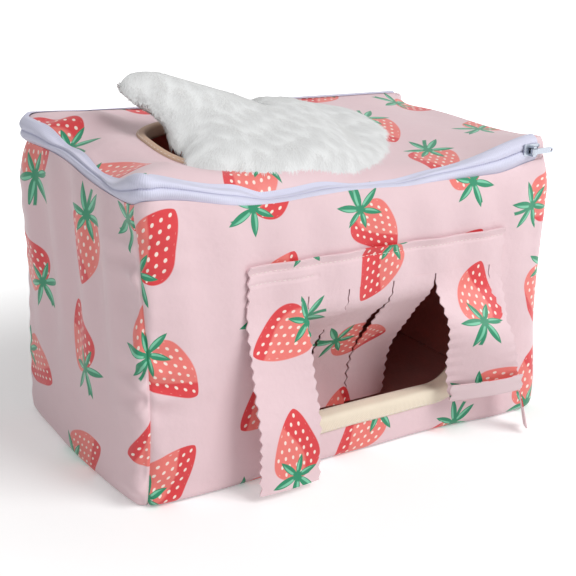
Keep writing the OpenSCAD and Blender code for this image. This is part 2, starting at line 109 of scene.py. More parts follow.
def feed(tree, socket, value):
    """Links a socket to a field or to another node's output, or sets it to a plain value."""
    if isinstance(value, Field):
        value = value.out
    if isinstance(value, bpy.types.NodeSocket):
        tree.links.new(value, socket)
    else:
        socket.default_value = value


class Field:
    """A number that changes over a surface: a shader node's output, with arithmetic that adds nodes."""

    def __init__(self, tree, out):
        self.tree, self.out = tree, out

    def math(self, kind, *others, clamp=False):
        """The result of one of Blender's math nodes on this number and others."""
        node = self.tree.nodes.new("ShaderNodeMath")
        node.operation, node.use_clamp = kind, clamp
        for socket, value in zip(node.inputs, (self, *others)):
            feed(self.tree, socket, value)
        return Field(self.tree, node.outputs[0])

    def __add__(self, other):
        return self.math("ADD", other)

    def __sub__(self, other):
        return self.math("SUBTRACT", other)

    def __mul__(self, other):
        return self.math("MULTIPLY", other)

    def __truediv__(self, other):
        return self.math("DIVIDE", other)

    def __pow__(self, other):
        return self.math("POWER", other)

    def inside(self, soft):
        """1 where the number is below 0 and 0 above it, with an edge as wide as soft."""
        return (self * (-1 / soft)).math("ADD", 0.5, clamp=True)


def seen_ray(tree):
    """1 for what the camera sees, straight, in a reflection or through glass, and 0 for other light."""
    ray = tree.nodes.new("ShaderNodeLightPath").outputs
    kinds = "Camera", "Glossy", "Transmission"
    straight, glossy, through = (Field(tree, ray[f"Is {kind} Ray"]) for kind in kinds)
    return straight.math("MAXIMUM", glossy).math("MAXIMUM", through)


sky_light, sky_seen = 0.35, 1.0
world = bpy.data.worlds.new("studio")
scene.world = world
world.use_nodes = True
tree = world.node_tree
sky = tree.nodes["Background"]
feed(tree, sky.inputs["Color"], (1, 1, 1, 1))
feed(tree, sky.inputs["Strength"], seen_ray(tree) * (sky_seen - sky_light) + sky_light)

floor_reach = 8
floor_mesh = bpy.data.meshes.new("floor")
floor_corners = [(a * floor_reach, b * floor_reach, 0) for a, b in ((-1, -1), (1, -1), (1, 1), (-1, 1))]
floor_mesh.from_pydata(floor_corners, [], [(0, 1, 2, 3)])
floor = bpy.data.objects.new("floor", floor_mesh)
floor_paint = bpy.data.materials.new("floor")
floor_paint.use_nodes = True
tree = floor_paint.node_tree
paint = tree.nodes["Principled BSDF"].inputs
feed(tree, paint["Base Color"], (0.93, 0.93, 0.93, 1))
feed(tree, paint["Roughness"], 0.9)
feed(tree, paint["Specular IOR Level"], 0)
feed(tree, paint["Emission Color"], (1, 1, 1, 1))
# Away from the object the floor fades to the white of the backdrop, for what the camera sees of it
far = tree.nodes.new("ShaderNodeVectorMath")
far.operation = "LENGTH"
feed(tree, far.inputs[0], tree.nodes.new("ShaderNodeTexCoord").outputs["Object"])
fade = tree.nodes.new("ShaderNodeMapRange")
fade.interpolation_type = "SMOOTHSTEP"
feed(tree, fade.inputs["Value"], far.outputs["Value"])
for name, value in (("From Min", 0.16), ("From Max", 0.6), ("To Min", 0.24), ("To Max", 1.0)):
    feed(tree, fade.inputs[name], value)
feed(tree, paint["Emission Strength"], Field(tree, fade.outputs["Result"]) * seen_ray(tree))
floor_mesh.materials.append(floor_paint)
scene.collection.objects.link(floor)


# Outer walls
# Four panels of thin coated fabric with a tossed fruit print, sewn together at the upright
# corners and rolled under at the bottom. Soft padding behind them keeps them full.
FRONT, RIGHT, BACK, LEFT = range(4)
half_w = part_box("right_panel")[1].x
half_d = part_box("back_panel")[1].y
wall_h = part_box("front_panel")[1].z
fabric_t = 0.0008
corner_r, bottom_r = 0.01, 0.006
seam_draw, top_draw, edge_band = 0.0032, 0.002, 0.025
hem_h = 0.0065  # of the top edge, which is turned in and sewn to the zip
wave_low = 0.125  # height above which a wall follows the waves of its top edge
roll_turn = np.radians(75)
roll_len = roll_turn * bottom_r
wall_cut = roll_len + wall_h - bottom_r  # height of a panel, cut flat


def smooth(t):
    """Eases from 0 to 1 as t goes from 0 to 1, level at both ends."""
    t = np.clip(t, 0, 1)
    return t * t * (3 - 2 * t)


def bump(t):
    """A bell-shaped hill of height 1 at t = 0, about 1 wide to each side."""
    return np.exp(-t * t)


def fullness(dist, band):
    """Share of full fullness at a distance from a seam: a parabola that levels out at the band."""
    return 1 - np.clip(1 - dist / band, 0, 1) ** 2


def side_half(side):
    """Half the length of a wall, out to the faces of the walls beside it."""
    return half_w if side in (FRONT, BACK) else half_d


def panel_half(side):
    """Half the width of a panel, along the wall and round the corners to its seams."""
    return side_half(side) - corner_r + corner_r * np.pi / 4


def plan_place(side, place, out):
    """A point of the walls seen from above. A place along the wall runs straight and then round
    the corner's arc, and out moves it square off the wall. Returns x, y and the outward normal."""
    away = (half_d if side in (FRONT, BACK) else half_w) - corner_r
    straight = side_half(side) - corner_r
    turn = np.maximum(0, np.abs(place) - straight) / corner_r
    way = np.sign(place)
    along = way * (np.minimum(np.abs(place), straight) + (corner_r + out) * np.sin(turn))
    off = away + (corner_r + out) * np.cos(turn)
    c, s = [(1, 0), (0, 1), (-1, 0), (0, -1)][side]
    face_along, face_off = way * np.sin(turn), np.cos(turn)
    return (c * along + s * off, s * along - c * off,
            c * face_along + s * face_off, s * face_along - c * face_off)


def by_facing(nx, ny, front, right, back, left):
    """Mixes a value for each wall by how far the outline faces that wall."""
    return ny ** 2 * np.where(ny < 0, front, back) + nx ** 2 * np.where(nx < 0, left, right)


def wall_top(x, y, nx, ny):
    """Height of the walls' top edge, which dips where the zip sags: one wave for each wall, mixed
    round the corners by how far the outline faces each wall."""
    front = wall_h - 0.0052 + 0.0082 * smooth((-x - 0.08) / 0.06) + 0.0062 * smooth((x - 0.1) / 0.04)
    front = front - 0.001 * bump((x + 0.065) / 0.02) + 0.0009 * bump((x + 0.012) / 0.025)
    front = front - 0.0008 * bump((x - 0.03) / 0.015)
    left = wall_h + 0.0025 + 0.0038 * np.tanh(y / 0.025) + 0.0055 * bump((y + 0.085) / 0.012)
    back = wall_h + 0.005 + 0.0012 * np.cos(x / 0.035)
    right = wall_h + 0.004 + 0.0012 * np.sin(y / 0.03)
    return by_facing(nx, ny, front, right, back, left)


def seam_drift(z):
    """How far the front left seam has slipped round towards the front, lowest near the floor."""
    return 0.0065 * np.cos(np.pi * (z - 0.047) / 0.144)


def flare(x, y):
    """How far the walls' top edge stands out at the back left corner."""
    return 0.004 * smooth((-x - 0.11) / 0.04) * smooth((y - 0.03) / 0.05)


ripple_draw = np.random.default_rng(4)
ripple_turns = ripple_draw.uniform(0, 2 * np.pi, 7)
ripple_lengths = ripple_draw.uniform(0.035, 0.11, 7)
ripple_starts = ripple_draw.uniform(0, 2 * np.pi, 7)


def ripple(a, b):
    """Slow unevenness of soft cloth: the mean of seven sine waves in different directions."""
    waves = [
        np.sin(2 * np.pi * (a * np.cos(t) + b * np.sin(t)) / l + s)
        for t, l, s in zip(ripple_turns, ripple_lengths, ripple_starts)
    ]
    return sum(waves) / len(waves)


def wall_swell(x, y, nx, level, upper):
    """How far the padding pushes a wall out: low at its right end, low in the middle of the left wall, a
    little along every foot, under the flare, and at the front right and back left corners."""
    right_end = 0.0065 * bump((level - 0.01) / 0.045) * smooth((x - 0.06) / 0.09)
    left_wall = 0.006 * bump((level - 0.02) / 0.05) * nx ** 2 * (nx < 0) * np.cos(y / half_d * 1.4) ** 2
    foot = 0.0025 * bump((level - 0.012) / 0.025) * smooth((half_w - np.abs(x)) / 0.05)
    flared = 0.75 * flare(x, y) * smooth((level - 0.08) / 0.09)
    corners = 0.003 * smooth(np.abs(x / half_w - y / half_d) - 1) * upper
    return right_end + left_wall + foot + flared + corners


def wall_creases(side, place, level, to_seam, to_corner_seam, upper, lower):
    """Folds that lean along a wall, puckers at its seams, the groove of the front left seam, and a slow
    ripple, each one fading out where the cloth is held."""
    fold_size = 0.0022 if side == LEFT else 0.0008
    fold_share = smooth((level - 0.02) / 0.1) * fullness(to_seam, 0.03) * upper
    folds = fold_size * np.sin(2 * np.pi * (place / 0.036 + level / 0.2) + 0.5 * side + 0.6) * fold_share
    pucker_size = {LEFT: 0.0036, FRONT: 0.0022}.get(side, 0.0008)
    pucker_wave = np.sin(2 * np.pi * level / 0.027 + 2.2 * np.sin(2 * np.pi * level / 0.073) + side)
    pucker = pucker_size * pucker_wave * np.exp(-to_corner_seam / 0.012)
    pucker = pucker + 0.0007 * np.sin(2 * np.pi * level / 0.016 + side) * np.exp(-to_seam / 0.008)
    pucker = pucker * smooth(to_seam / 0.007) * lower
    groove = -0.0009 * bump(to_corner_seam / 0.0016) * lower
    slow = 0.0012 * ripple(place + side, level) * fullness(to_seam, 0.02) * upper
    return folds + pucker + slow + groove


def wall_place(side, place, rise, deep=0.0):
    """A point of a wall panel's face, or of a layer deep below it. rise is the height on the flat
    cut: round the bottom roll and then straight up. The face is drawn in to its top edge and its
    seams, swells, creases, less so in the layers below, and follows the waves of its top edge."""
    roll = np.clip((roll_len - rise) / bottom_r, 0, roll_turn)
    level = np.where(rise < roll_len, bottom_r * (1 - np.sin(roll)), bottom_r + rise - roll_len)
    flat_x, flat_y, nx, _ = plan_place(side, place, 0)
    drift = seam_drift(level)
    seam_low = -panel_half(side) + (drift if side == FRONT else 0)
    seam_high = panel_half(side) + (drift if side == LEFT else 0)
    to_seam = np.minimum(place - seam_low, seam_high - place)
    to_corner_seam = seam_high - place if side == LEFT else place - seam_low
    upper = fullness(wall_h - level, edge_band)
    lower = fullness(np.maximum(0, wall_h - hem_h - level), edge_band)
    out = -bottom_r * (1 - np.cos(roll)) - top_draw * (1 - upper)
    drawn = seam_draw if side in (LEFT, FRONT) else 0
    out = out - drawn * (1 - fullness(to_corner_seam, edge_band)) * lower
    creases = wall_creases(side, place, level, to_seam, to_corner_seam, upper, lower)
    soft = np.exp(-np.maximum(0, deep - 0.0015) / 0.004)
    out = out + wall_swell(flat_x, flat_y, nx, level, upper) + creases * soft - deep * np.cos(roll)
    x, y, nx, ny = plan_place(side, place, out)
    lift = (wall_top(flat_x, flat_y, nx, ny) - wall_h) * smooth((level - wave_low) / (wall_h - wave_low))
    return np.stack([x, y, level + lift + deep * np.sin(roll)], -1)


def new_piece(name, points, faces):
    """A smooth-shaded object of faces over an array of points."""
    mesh = bpy.data.meshes.new(name)
    mesh.from_pydata(points.reshape(-1, 3), [], faces)
    mesh.polygons.foreach_set("use_smooth", np.ones(len(faces), bool))
    mesh.update()
    piece = bpy.data.objects.new(name, mesh)
    scene.collection.objects.link(piece)
    return piece


def lay_map(piece, places):
    """Gives each corner of a piece's faces its place on the map that the print and the weave follow."""
    cloth_map = piece.data.uv_layers.new(name="cloth")
    cloth_map.uv.foreach_set("vector", places.astype(np.float32).ravel())


def grid_corners(rows, cols):
    """The row and column of the four corners of every face on a grid, rows by cols faces."""
    i, j = np.meshgrid(np.arange(rows), np.arange(cols), indexing="ij")
    corners = ((i, j), (i, j + 1), (i + 1, j + 1), (i + 1, j))
    return np.stack([np.stack(corner, -1) for corner in corners], -2).reshape(-1, 4, 2)


def cloth_mesh(name, grid, flat, loop=False, flip=False):
    """A piece over a grid of points, each joined to its neighbours by four-sided faces. With loop,
    the last column joins the first. flat gives each point's place on the flat cloth, in metres;
    a loop has one more column there. The outer edges are marked sharp, because cloth is cut there."""
    rows, cols = grid.shape[:2]
    corners = grid_corners(rows - 1, cols if loop else cols - 1)
    if flip:
        corners = corners[:, ::-1]
    row, col = corners[..., 0], corners[..., 1]
    piece = new_piece(name, grid, row * cols + col % cols)
    lay_map(piece, flat[row, col])
    mesh = piece.data
    ends = np.empty(2 * len(mesh.edges), np.int32)
    mesh.edges.foreach_get("vertices", ends)
    row, col = np.divmod(ends.reshape(-1, 2), cols)
    cut = (row == 0).all(1) | (row == rows - 1).all(1)
    if not loop:
        cut |= (col == 0).all(1) | (col == cols - 1).all(1)
    mesh.attributes.new("sharp_edge", "BOOLEAN", "EDGE").data.foreach_set("value", cut)
    return piece


def clothe(piece, thick, face, back=None):
    """Gives a sheet its cloth and its thickness, inwards from its face, and its back another cloth."""
    piece.data.materials.append(face)
    shell = piece.modifiers.new("thickness", "SOLIDIFY")
    shell.thickness, shell.offset = thick, -1
    if back:
        piece.data.materials.append(back)
        shell.material_offset = 1


def fit(piece, body, node):
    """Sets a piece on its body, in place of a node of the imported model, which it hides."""
    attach(piece, body)
    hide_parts(node)


def colour(r, g, b):
    """A shader's colour from the three numbers of a colour as seen, 0 to 255."""
    seen = np.array([r, g, b]) / 255
    return (*np.where(seen > 0.04045, ((seen + 0.055) / 1.055) ** 2.4, seen / 12.92), 1)


def mix(tree, share, low, high, kind="MIX"):
    """A colour that goes from low to high, or to low times high, as share goes from 0 to 1."""
    node = tree.nodes.new("ShaderNodeMix")
    node.data_type, node.blend_type = "RGBA", kind
    for number, value in ((0, share), (6, low), (7, high)):
        feed(tree, node.inputs[number], value)
    return node.outputs[2]


def new_group(name, inputs, outputs):
    """An empty node group with named sockets. Returns its tree, its inputs and its output node."""
    tree = bpy.data.node_groups.new(name, "ShaderNodeTree")
    for way, sockets in (("INPUT", inputs), ("OUTPUT", outputs)):
        for socket, kind in sockets:
            tree.interface.new_socket(socket, in_out=way, socket_type="NodeSocket" + kind)
    return tree, tree.nodes.new("NodeGroupInput").outputs, tree.nodes.new("NodeGroupOutput")


def place_on(tree, vector):
    """The first two numbers of a place vector, as fields."""
    split = tree.nodes.new("ShaderNodeSeparateXYZ")
    tree.links.new(vector, split.inputs[0])
    return Field(tree, split.outputs[0]), Field(tree, split.outputs[1])


fabric_pink = colour(236, 207, 212)
berry_red, berry_coral = colour(222, 56, 62), colour(240, 122, 114)
seed_pitch = 0.19  # of a berry's half length
seed_cream, leaf_green, leaf_mint = colour(255, 236, 224), colour(18, 138, 98), colour(122, 203, 168)
column_w, row_h, berry_drift, berry_l = 0.071, 0.067, 0.007, 0.0265


def fruit_print():
    """A tossed print of strawberries on pink. The cloth is split into columns that step by half a
    row, with one berry to a cell, moved and turned at random. A berry is a drop shape in two reds
    with rows of seeds; its leaves are a star of six points round the top, with a stem."""
    tree, given, end = new_group("fruit_print", [("Place", "Vector")], [("Color", "Color"), ("Ink", "Float")])
    u, v = place_on(tree, given["Place"])
    column = (u / column_w).math("FLOOR")
    v = v + column.math("FLOORED_MODULO", 2.0) * (row_h / 2)
    row = (v / row_h).math("FLOOR")
    cell = tree.nodes.new("ShaderNodeCombineXYZ")
    tree.links.new(column.out, cell.inputs[0])
    tree.links.new(row.out, cell.inputs[1])
    toss = tree.nodes.new("ShaderNodeTexWhiteNoise")
    toss.noise_dimensions = "3D"
    tree.links.new(cell.outputs[0], toss.inputs["Vector"])
    chance = tree.nodes.new("ShaderNodeSeparateColor")
    tree.links.new(toss.outputs["Color"], chance.inputs[0])
    first, second, third = (Field(tree, out) for out in chance.outputs[:3])
    a = u - (column + 0.5) * column_w - (first - 0.5) * berry_drift
    b = v - (row + 0.5) * row_h - (second - 0.5) * berry_drift
    turn = third * (2 * np.pi)
    c, s = turn.math("COSINE"), turn.math("SINE")
    x = (a * c + b * s) / berry_l
    y = (b * c - a * s) / berry_l

    up = ((y + 1) / 1.62).math("ADD", 0.0, clamp=True)
    half = (up ** 0.6) * ((up ** 5) * -1 + 1).math("SQRT") * 0.83
    lean = x + (y * 5 + 1).math("SINE") * 0.02
    body = lean.math("ABSOLUTE") - half + 0.012
    shade = x * 0.8 + (y * 2.2 + 1).math("SINE") * 0.3 + (first - 0.5) * 0.5
    blush = mix(tree, (shade * -1).inside(0.05), berry_red, berry_coral)
    sy = y / seed_pitch + (x * 4).math("SINE") * 0.12
    sx = x / seed_pitch + sy.math("FLOOR").math("FLOORED_MODULO", 2.0) * 0.5
    fx = (sx.math("FRACT") - 0.5) * seed_pitch
    fy = (sy.math("FRACT") - 0.5) * seed_pitch
    seed = ((fx / 0.03) ** 2 + (fy / 0.047) ** 2).math("SQRT") - 1
    seeds = seed.inside(0.3) * (body + 0.06).inside(0.03)
    flesh = mix(tree, seeds, blush, seed_cream)

    py = y - 0.56
    far = (x * x + py * py).math("SQRT")
    way = py.math("ARCTAN2", x) * (6 / (2 * np.pi)) + first
    part = way.math("FRACT")
    point = ((part - 0.5).math("ABSOLUTE") * -2 + 1) ** 1.25
    leaf = far - point * ((way * 0.9).math("SINE") * 0.1 + 0.52) - 0.1
    stem_bend = x - py * py * 0.3
    stem = (stem_bend.math("ABSOLUTE") - 0.05).math("MAXIMUM", (py - 0.3).math("ABSOLUTE") - 0.3)
    green = leaf.math("MINIMUM", stem)
    light = (part * -1 + 0.53).inside(0.06) * (leaf + 0.07).inside(0.04) * (far * -1 + 0.13).inside(0.04)
    leaves = mix(tree, light, leaf_green, leaf_mint)

    berry = body.inside(0.024)
    foliage = green.inside(0.024)
    cloth = mix(tree, berry, fabric_pink, flesh)
    tree.links.new(mix(tree, foliage, cloth, leaves), end.inputs["Color"])
    tree.links.new(berry.math("MAXIMUM", foliage).out, end.inputs["Ink"])
    return tree


def plain_weave():
    """Threads that pass over and under each other: the product of a wave across and one along the
    cloth, as a height and as a slight painted shade, darker where the threads dip."""
    tree, given, end = new_group(
        "plain_weave", [("Place", "Vector"), ("Pitch", "Float")], [("Height", "Float"), ("Shade", "Float")])
    u, v = place_on(tree, given["Place"])
    pitch = Field(tree, given["Pitch"])
    warp = (u * (2 * np.pi) / pitch).math("SINE")
    weft = (v * (2 * np.pi) / pitch).math("SINE")
    height = warp * weft * 0.5 + 0.5
    tree.links.new(height.out, end.inputs["Height"])
    tree.links.new((height * 0.06 + 0.97).out, end.inputs["Shade"])
    return tree


fruit_group, weave_group = fruit_print(), plain_weave()


def use_group(tree, group, **values):
    """Places a node group in a material, with its inputs linked or set. Returns its outputs as fields."""
    node = tree.nodes.new("ShaderNodeGroup")
    node.node_tree = group
    for name, value in values.items():
        feed(tree, node.inputs[name], value)
    return {socket.name: Field(tree, socket) for socket in node.outputs}


def finish_of(name, roughness, sheen=0.0, on_cloth=True):
    """A new material. Returns it with its tree, its main shader and the vector that its pattern follows:
    the place on the flat cloth, or in space for a piece that isn't cut from cloth."""
    material = bpy.data.materials.new(name)
    material.use_nodes = True
    tree = material.node_tree
    shader = tree.nodes["Principled BSDF"].inputs
    feed(tree, shader["Roughness"], roughness)
    feed(tree, shader["Sheen Weight"], sheen)
    if not on_cloth:
        return material, tree, shader, tree.nodes.new("ShaderNodeTexCoord").outputs["Object"]
    cloth_map = tree.nodes.new("ShaderNodeUVMap")
    cloth_map.uv_map = "cloth"
    return material, tree, shader, cloth_map.outputs[0]


def noise(tree, vector, scale, detail=3.0):
    """Smooth random light and dark, as a field about 0.5."""
    node = tree.nodes.new("ShaderNodeTexNoise")
    for name, value in (("Scale", scale), ("Detail", detail), ("Vector", vector)):
        feed(tree, node.inputs[name], value)
    return Field(tree, node.outputs[0])


def dye(tree, shader, base, share):
    """Gives a shader a colour, times a field of numbers near 1."""
    grey = tree.nodes.new("ShaderNodeCombineColor")
    for socket in grey.inputs[:3]:
        feed(tree, socket, share)
    feed(tree, shader["Base Color"], mix(tree, 1, base, grey.outputs[0], "MULTIPLY"))


def raise_bump(tree, shader, height, strength, deep):
    """Feeds a field to a shader's normal as a fine relief of the given depth."""
    node = tree.nodes.new("ShaderNodeBump")
    for name, value in (("Strength", strength), ("Distance", deep), ("Height", height)):
        feed(tree, node.inputs[name], value)
    feed(tree, shader["Normal"], node.outputs[0])


fabric_pitch = 0.0009
printed_fabric, tree, shader, spot = finish_of("printed_fabric", 0.5, 0.15)
drawn = use_group(tree, fruit_group, Place=spot)
woven = use_group(tree, weave_group, Place=spot, Pitch=fabric_pitch)
crumple = noise(tree, spot, 70, 4)
dye(tree, shader, drawn["Color"], woven["Shade"] * (noise(tree, spot, 25) * 0.06 + 0.97))
feed(tree, shader["Roughness"], drawn["Ink"] * -0.08 + crumple * 0.1 + 0.47)
raise_bump(tree, shader, crumple * 3 + woven["Height"] * 0.12, 0.25, 0.0012)

fabric_back, tree, shader, spot = finish_of("fabric_back", 0.7, 0.2)
woven = use_group(tree, weave_group, Place=spot, Pitch=fabric_pitch)
dye(tree, shader, colour(238, 214, 218), woven["Shade"] * (noise(tree, spot, 30) * 0.08 + 0.96))
raise_bump(tree, shader, woven["Height"], 0.2, 0.0002)


door_w, door_h, door_x, sill_h, door_r = 0.146, 0.088, 0.012, 0.032, 0.025
door_area = door_w * door_h - (4 - np.pi) * door_r ** 2
cut_ease = 0.0009  # how far cut cloth ends short of an opening's edge, inside the binding


def door_line(grow, count):
    """Points round the doorway's outline, grown all round: a rectangle with round corners, walked at
    an even pace from the middle of its right side, anticlockwise as seen from the front.
    Returns x and z."""
    flat_x, flat_z, r = door_w / 2 - door_r, door_h / 2 - door_r, door_r + grow
    arc = np.pi / 2 * r
    stops = np.cumsum([0, flat_z, arc, 2 * flat_x, arc, 2 * flat_z, arc, 2 * flat_x, arc, flat_z])
    walk = np.arange(count) / count * stops[-1]
    turn = np.interp(walk, stops, np.radians([0, 0, 90, 90, 180, 180, 270, 270, 360, 360]))
    mid_x = np.interp(walk, stops, flat_x * np.array([1, 1, 1, -1, -1, -1, -1, 1, 1, 1]))
    mid_z = np.interp(walk, stops, flat_z * np.array([0, 1, 1, 1, 1, -1, -1, -1, -1, 0]))
    return door_x + mid_x + r * np.cos(turn), sill_h + door_h / 2 + mid_z + r * np.sin(turn)


def front_rings(rings, count, deep=0.0, short=0.0, low=0.0, high=wall_cut):
    """The front wall as rings that grow from the doorway's edge to the panel's seams, or to a shorter
    rectangle, on straight rays from the doorway's middle. Returns points and places on the flat cut."""
    x, z = door_line(cut_ease, count)
    mid = np.array([door_x, sill_h + door_h / 2 - bottom_r + roll_len])
    inner = np.stack([x, z - bottom_r + roll_len], -1)
    ray = inner - mid
    reach = panel_half(FRONT) - short
    side_x = np.where(ray[:, 0] < 0, -reach, reach)
    side_z = np.where(ray[:, 1] < 0, low, high)
    with np.errstate(divide="ignore"):
        share = np.minimum((side_x - mid[0]) / ray[:, 0], (side_z - mid[1]) / ray[:, 1])
    outer = mid + ray * share[:, None]
    for corner in ((-reach, low), (reach, low), (reach, high), (-reach, high)):
        outer[np.argmin(((outer - corner) ** 2).sum(1))] = corner
    t = np.linspace(0, 1, rings)[:, None, None]
    flat = inner + (outer - inner) * t
    level = flat[..., 1] - roll_len + bottom_r
    place = flat[..., 0]
    slip = smooth((-place - 0.08) / (reach - 0.08)) * seam_drift(np.maximum(level, 0))
    return wall_place(FRONT, place + slip, flat[..., 1], deep), flat


def wall_grid(side, cols, rows, deep=0.0, short=0.0, low=0.0, high=wall_cut):
    """A wall panel without an opening, between its seams or short of them at each end.
    Returns points and places on the flat cut."""
    rise = np.linspace(low, high, rows)[:, None]
    share = np.linspace(-1, 1, cols)[None, :]
    place = share * (panel_half(side) - short) + 0 * rise
    level = np.maximum(rise - roll_len + bottom_r, 0)
    slip = smooth((place - 0.03) / (panel_half(side) - 0.03)) * seam_drift(level) if side == LEFT else 0
    return wall_place(side, place + slip, rise + 0 * place, deep), np.stack([place, rise + 0 * place], -1)


def close_loop(flat):
    """Repeats the first column of a loop's map after its last one."""
    return np.concatenate([flat, flat[:, :1]], 1)


def wall_layer(side, name, front_size, side_size, shift=(0, 0), inwards=False, **ends):
    """One layer of a wall, as rings round the doorway in front and as a plain grid on the other sides."""
    if side == FRONT:
        grid, flat = front_rings(*front_size, **ends)
        return cloth_mesh(name, grid, close_loop(flat + shift), loop=True, flip=not inwards)
    grid, flat = wall_grid(side, *side_size, **ends)
    return cloth_mesh(name, grid, flat + shift, flip=inwards)


wall_names = {FRONT: "front", RIGHT: "right", BACK: "back", LEFT: "left"}
print_shifts = {FRONT: (0.031, 0.012), RIGHT: (0.44, 0.03), BACK: (0.87, 0.05), LEFT: (1.3, 0.022)}
for side, wall in wall_names.items():
    cols = 170 if side == LEFT else 120
    panel = wall_layer(side, f"{wall}_fabric", (64, 420), (cols, 150), print_shifts[side])
    clothe(panel, fabric_t, printed_fabric, fabric_back)
    fit(panel, "box", f"{wall}_panel")
    flat_w = 2 * panel_half(side)
    flat_w * wall_cut - (door_area if side == FRONT else 0)


# Padding and base board
# Slabs of foam behind the wall panels, cut short of the corners and of the zip, and a stiff
# board under the floor, so that the soft box stands by itself.
padding_t, padding_low, padding_high = 0.0054, roll_len + 0.0008, wall_cut - 0.007

foam, tree, shader, spot = finish_of("foam", 0.95)
cells = noise(tree, spot, 900, 2)
dye(tree, shader, colour(236, 230, 214), cells * 0.16 + 0.92)
raise_bump(tree, shader, cells, 0.5, 0.0004)

for side, wall in wall_names.items():
    pad = wall_layer(side, f"{wall}_pad", (22, 200), (60, 50),
                     deep=fabric_t + 0.0002, short=0.012, low=padding_low, high=padding_high)
    clothe(pad, padding_t, foam)
    fit(pad, "box", f"{wall}_padding")

base_board, tree, shader, spot = finish_of("base_board", 0.8, on_cloth=False)
fibres = noise(tree, spot, 240, 5)
dye(tree, shader, colour(190, 176, 150), fibres * 0.3 + 0.85)
raise_bump(tree, shader, fibres, 0.3, 0.0003)
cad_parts["base_board"].material_slots[0].material = base_board


def plan_reach(turn, points, inset, mid_x=0.0):
    """Distance from a point on the x axis to the walls' outline, in each direction. The outline is walked
    in a number of points to a wall, and drawn in by an inset that depends on the point and its normal."""
    edge = []
    for side in wall_names:
        x, y, nx, ny = plan_place(side, np.linspace(-1, 1, points) * panel_half(side), 0)
        drawn = inset(x, y, nx, ny)
        edge.append(np.stack([x - nx * drawn - mid_x, y - ny * drawn], -1))
    edge = np.concatenate(edge)
    angle = np.unwrap(np.arctan2(edge[:, 1], edge[:, 0]))
    return np.interp(turn, angle, np.hypot(*edge.T), period=2 * np.pi)


def base_rings(rings, count, inset, z):
    """A flat sheet on the box's plan, drawn in by an inset: rings that grow from the middle."""
    turn = np.arange(count) / count * 2 * np.pi
    reach = plan_reach(turn, 200, lambda *_: inset)
    share = np.linspace(0.02, 1, rings)[:, None]
    x, y = share * reach * np.cos(turn), share * reach * np.sin(turn)
    return np.stack([x, y, z + 0 * x], -1), np.stack([x, y], -1)


base_inset = bottom_r * (1 - np.cos(roll_turn)) + seam_draw + 0.0004
grid, flat = base_rings(12, 240, base_inset, 0.0)
under = cloth_mesh("base_fabric", grid, close_loop(flat), loop=True)
clothe(under, fabric_t, printed_fabric)
fit(under, "box", "base_panel")


# Lining
# Deep rose brushed cotton on the inside of the walls and over the floor, sewn in at the top
# edge and round the doorway, with a soft nap that hides its weave.
lining_t, lining_deep, carpet_t = 0.0008, 0.007, 0.0005
lining_low, lining_high = roll_len - 0.0004, wall_cut - 0.0005

lining, tree, shader, spot = finish_of("lining", 0.9, 0.35)
woven = use_group(tree, weave_group, Place=spot, Pitch=0.0013)
nap = noise(tree, spot, 420, 3)
shade = woven["Shade"] * (nap * 0.24 + 0.88) * (noise(tree, spot, 22) * 0.14 + 0.93)
dye(tree, shader, colour(222, 128, 118), shade)
raise_bump(tree, shader, nap + woven["Height"] * 0.3, 0.35, 0.0005)

for side, wall in wall_names.items():
    inside = wall_layer(side, f"{wall}_inside", (26, 200), (80, 60), inwards=True,
                        deep=lining_deep + lining_t, short=0.0005, low=lining_low, high=lining_high)
    clothe(inside, lining_t, lining)
    fit(inside, "box", f"{wall}_lining")
    flat_w, flat_h = 2 * panel_half(side), lining_high - lining_low
    flat_w * flat_h - (door_area if side == FRONT else 0)

floor_top, floor_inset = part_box("base_lining")[1].z, 0.0035
grid, flat = base_rings(40, 240, floor_inset, floor_top)
grid[..., 2] += 0.0006 * ripple(grid[..., 0] * 2, grid[..., 1] * 2)
carpet = cloth_mesh("base_inside", grid, close_loop(flat), loop=True, flip=True)
clothe(carpet, carpet_t, lining)
fit(carpet, "box", "base_lining")


# Doorway binding
# Cream cotton tape, folded over the raw edge of the front wall and sewn down through it, so
# that the edge is a soft roll that shows about as wide in front as inside.
binding_w = 0.0105
binding_cut = 2 * binding_w + 0.012  # width of the tape, unfolded
binding_t = 0.0007


def binding_finish(name, base):
    """A plain woven cotton tape of one colour."""
    material, tree, shader, spot = finish_of(name, 0.75, 0.2)
    woven = use_group(tree, weave_group, Place=spot, Pitch=0.0011)
    dye(tree, shader, base, woven["Shade"] * (noise(tree, spot, 60) * 0.1 + 0.95))
    raise_bump(tree, shader, woven["Height"] + noise(tree, spot, 160) * 2, 0.3, 0.0004)
    return material


binding_cloth = binding_finish("binding_cloth", colour(246, 233, 211))

# Across the tape: distance out from the doorway's edge, and depth below the wall's face
fold_out = binding_w * np.array(
    [1, 0.97, 0.85, 0.6, 0.35, 0.12, 0, -0.04, -0.05, -0.04, 0, 0.12, 0.5, 0.9, 1])
fold_deep = np.array(
    [-0.2, -0.9, -1.2, -1.7, -2.1, -2.0, -1.2, 0.6, 4, 7.4, 8.8, 9.4, 9.3, 9.0, 8.5]) / 1000
door_round = 2 * (door_w + door_h - 4 * door_r + np.pi * door_r)


def on_front(x, z, deep):
    """A point on the front wall's face at a height, or proud of it by a negative depth."""
    return wall_place(FRONT, x, z - bottom_r + roll_len, deep)


def pressed(z):
    """Share of its fullness that the binding keeps at a height: little where the curtain lies on it."""
    return 1 - 0.85 * smooth((z - 0.082) / 0.02)


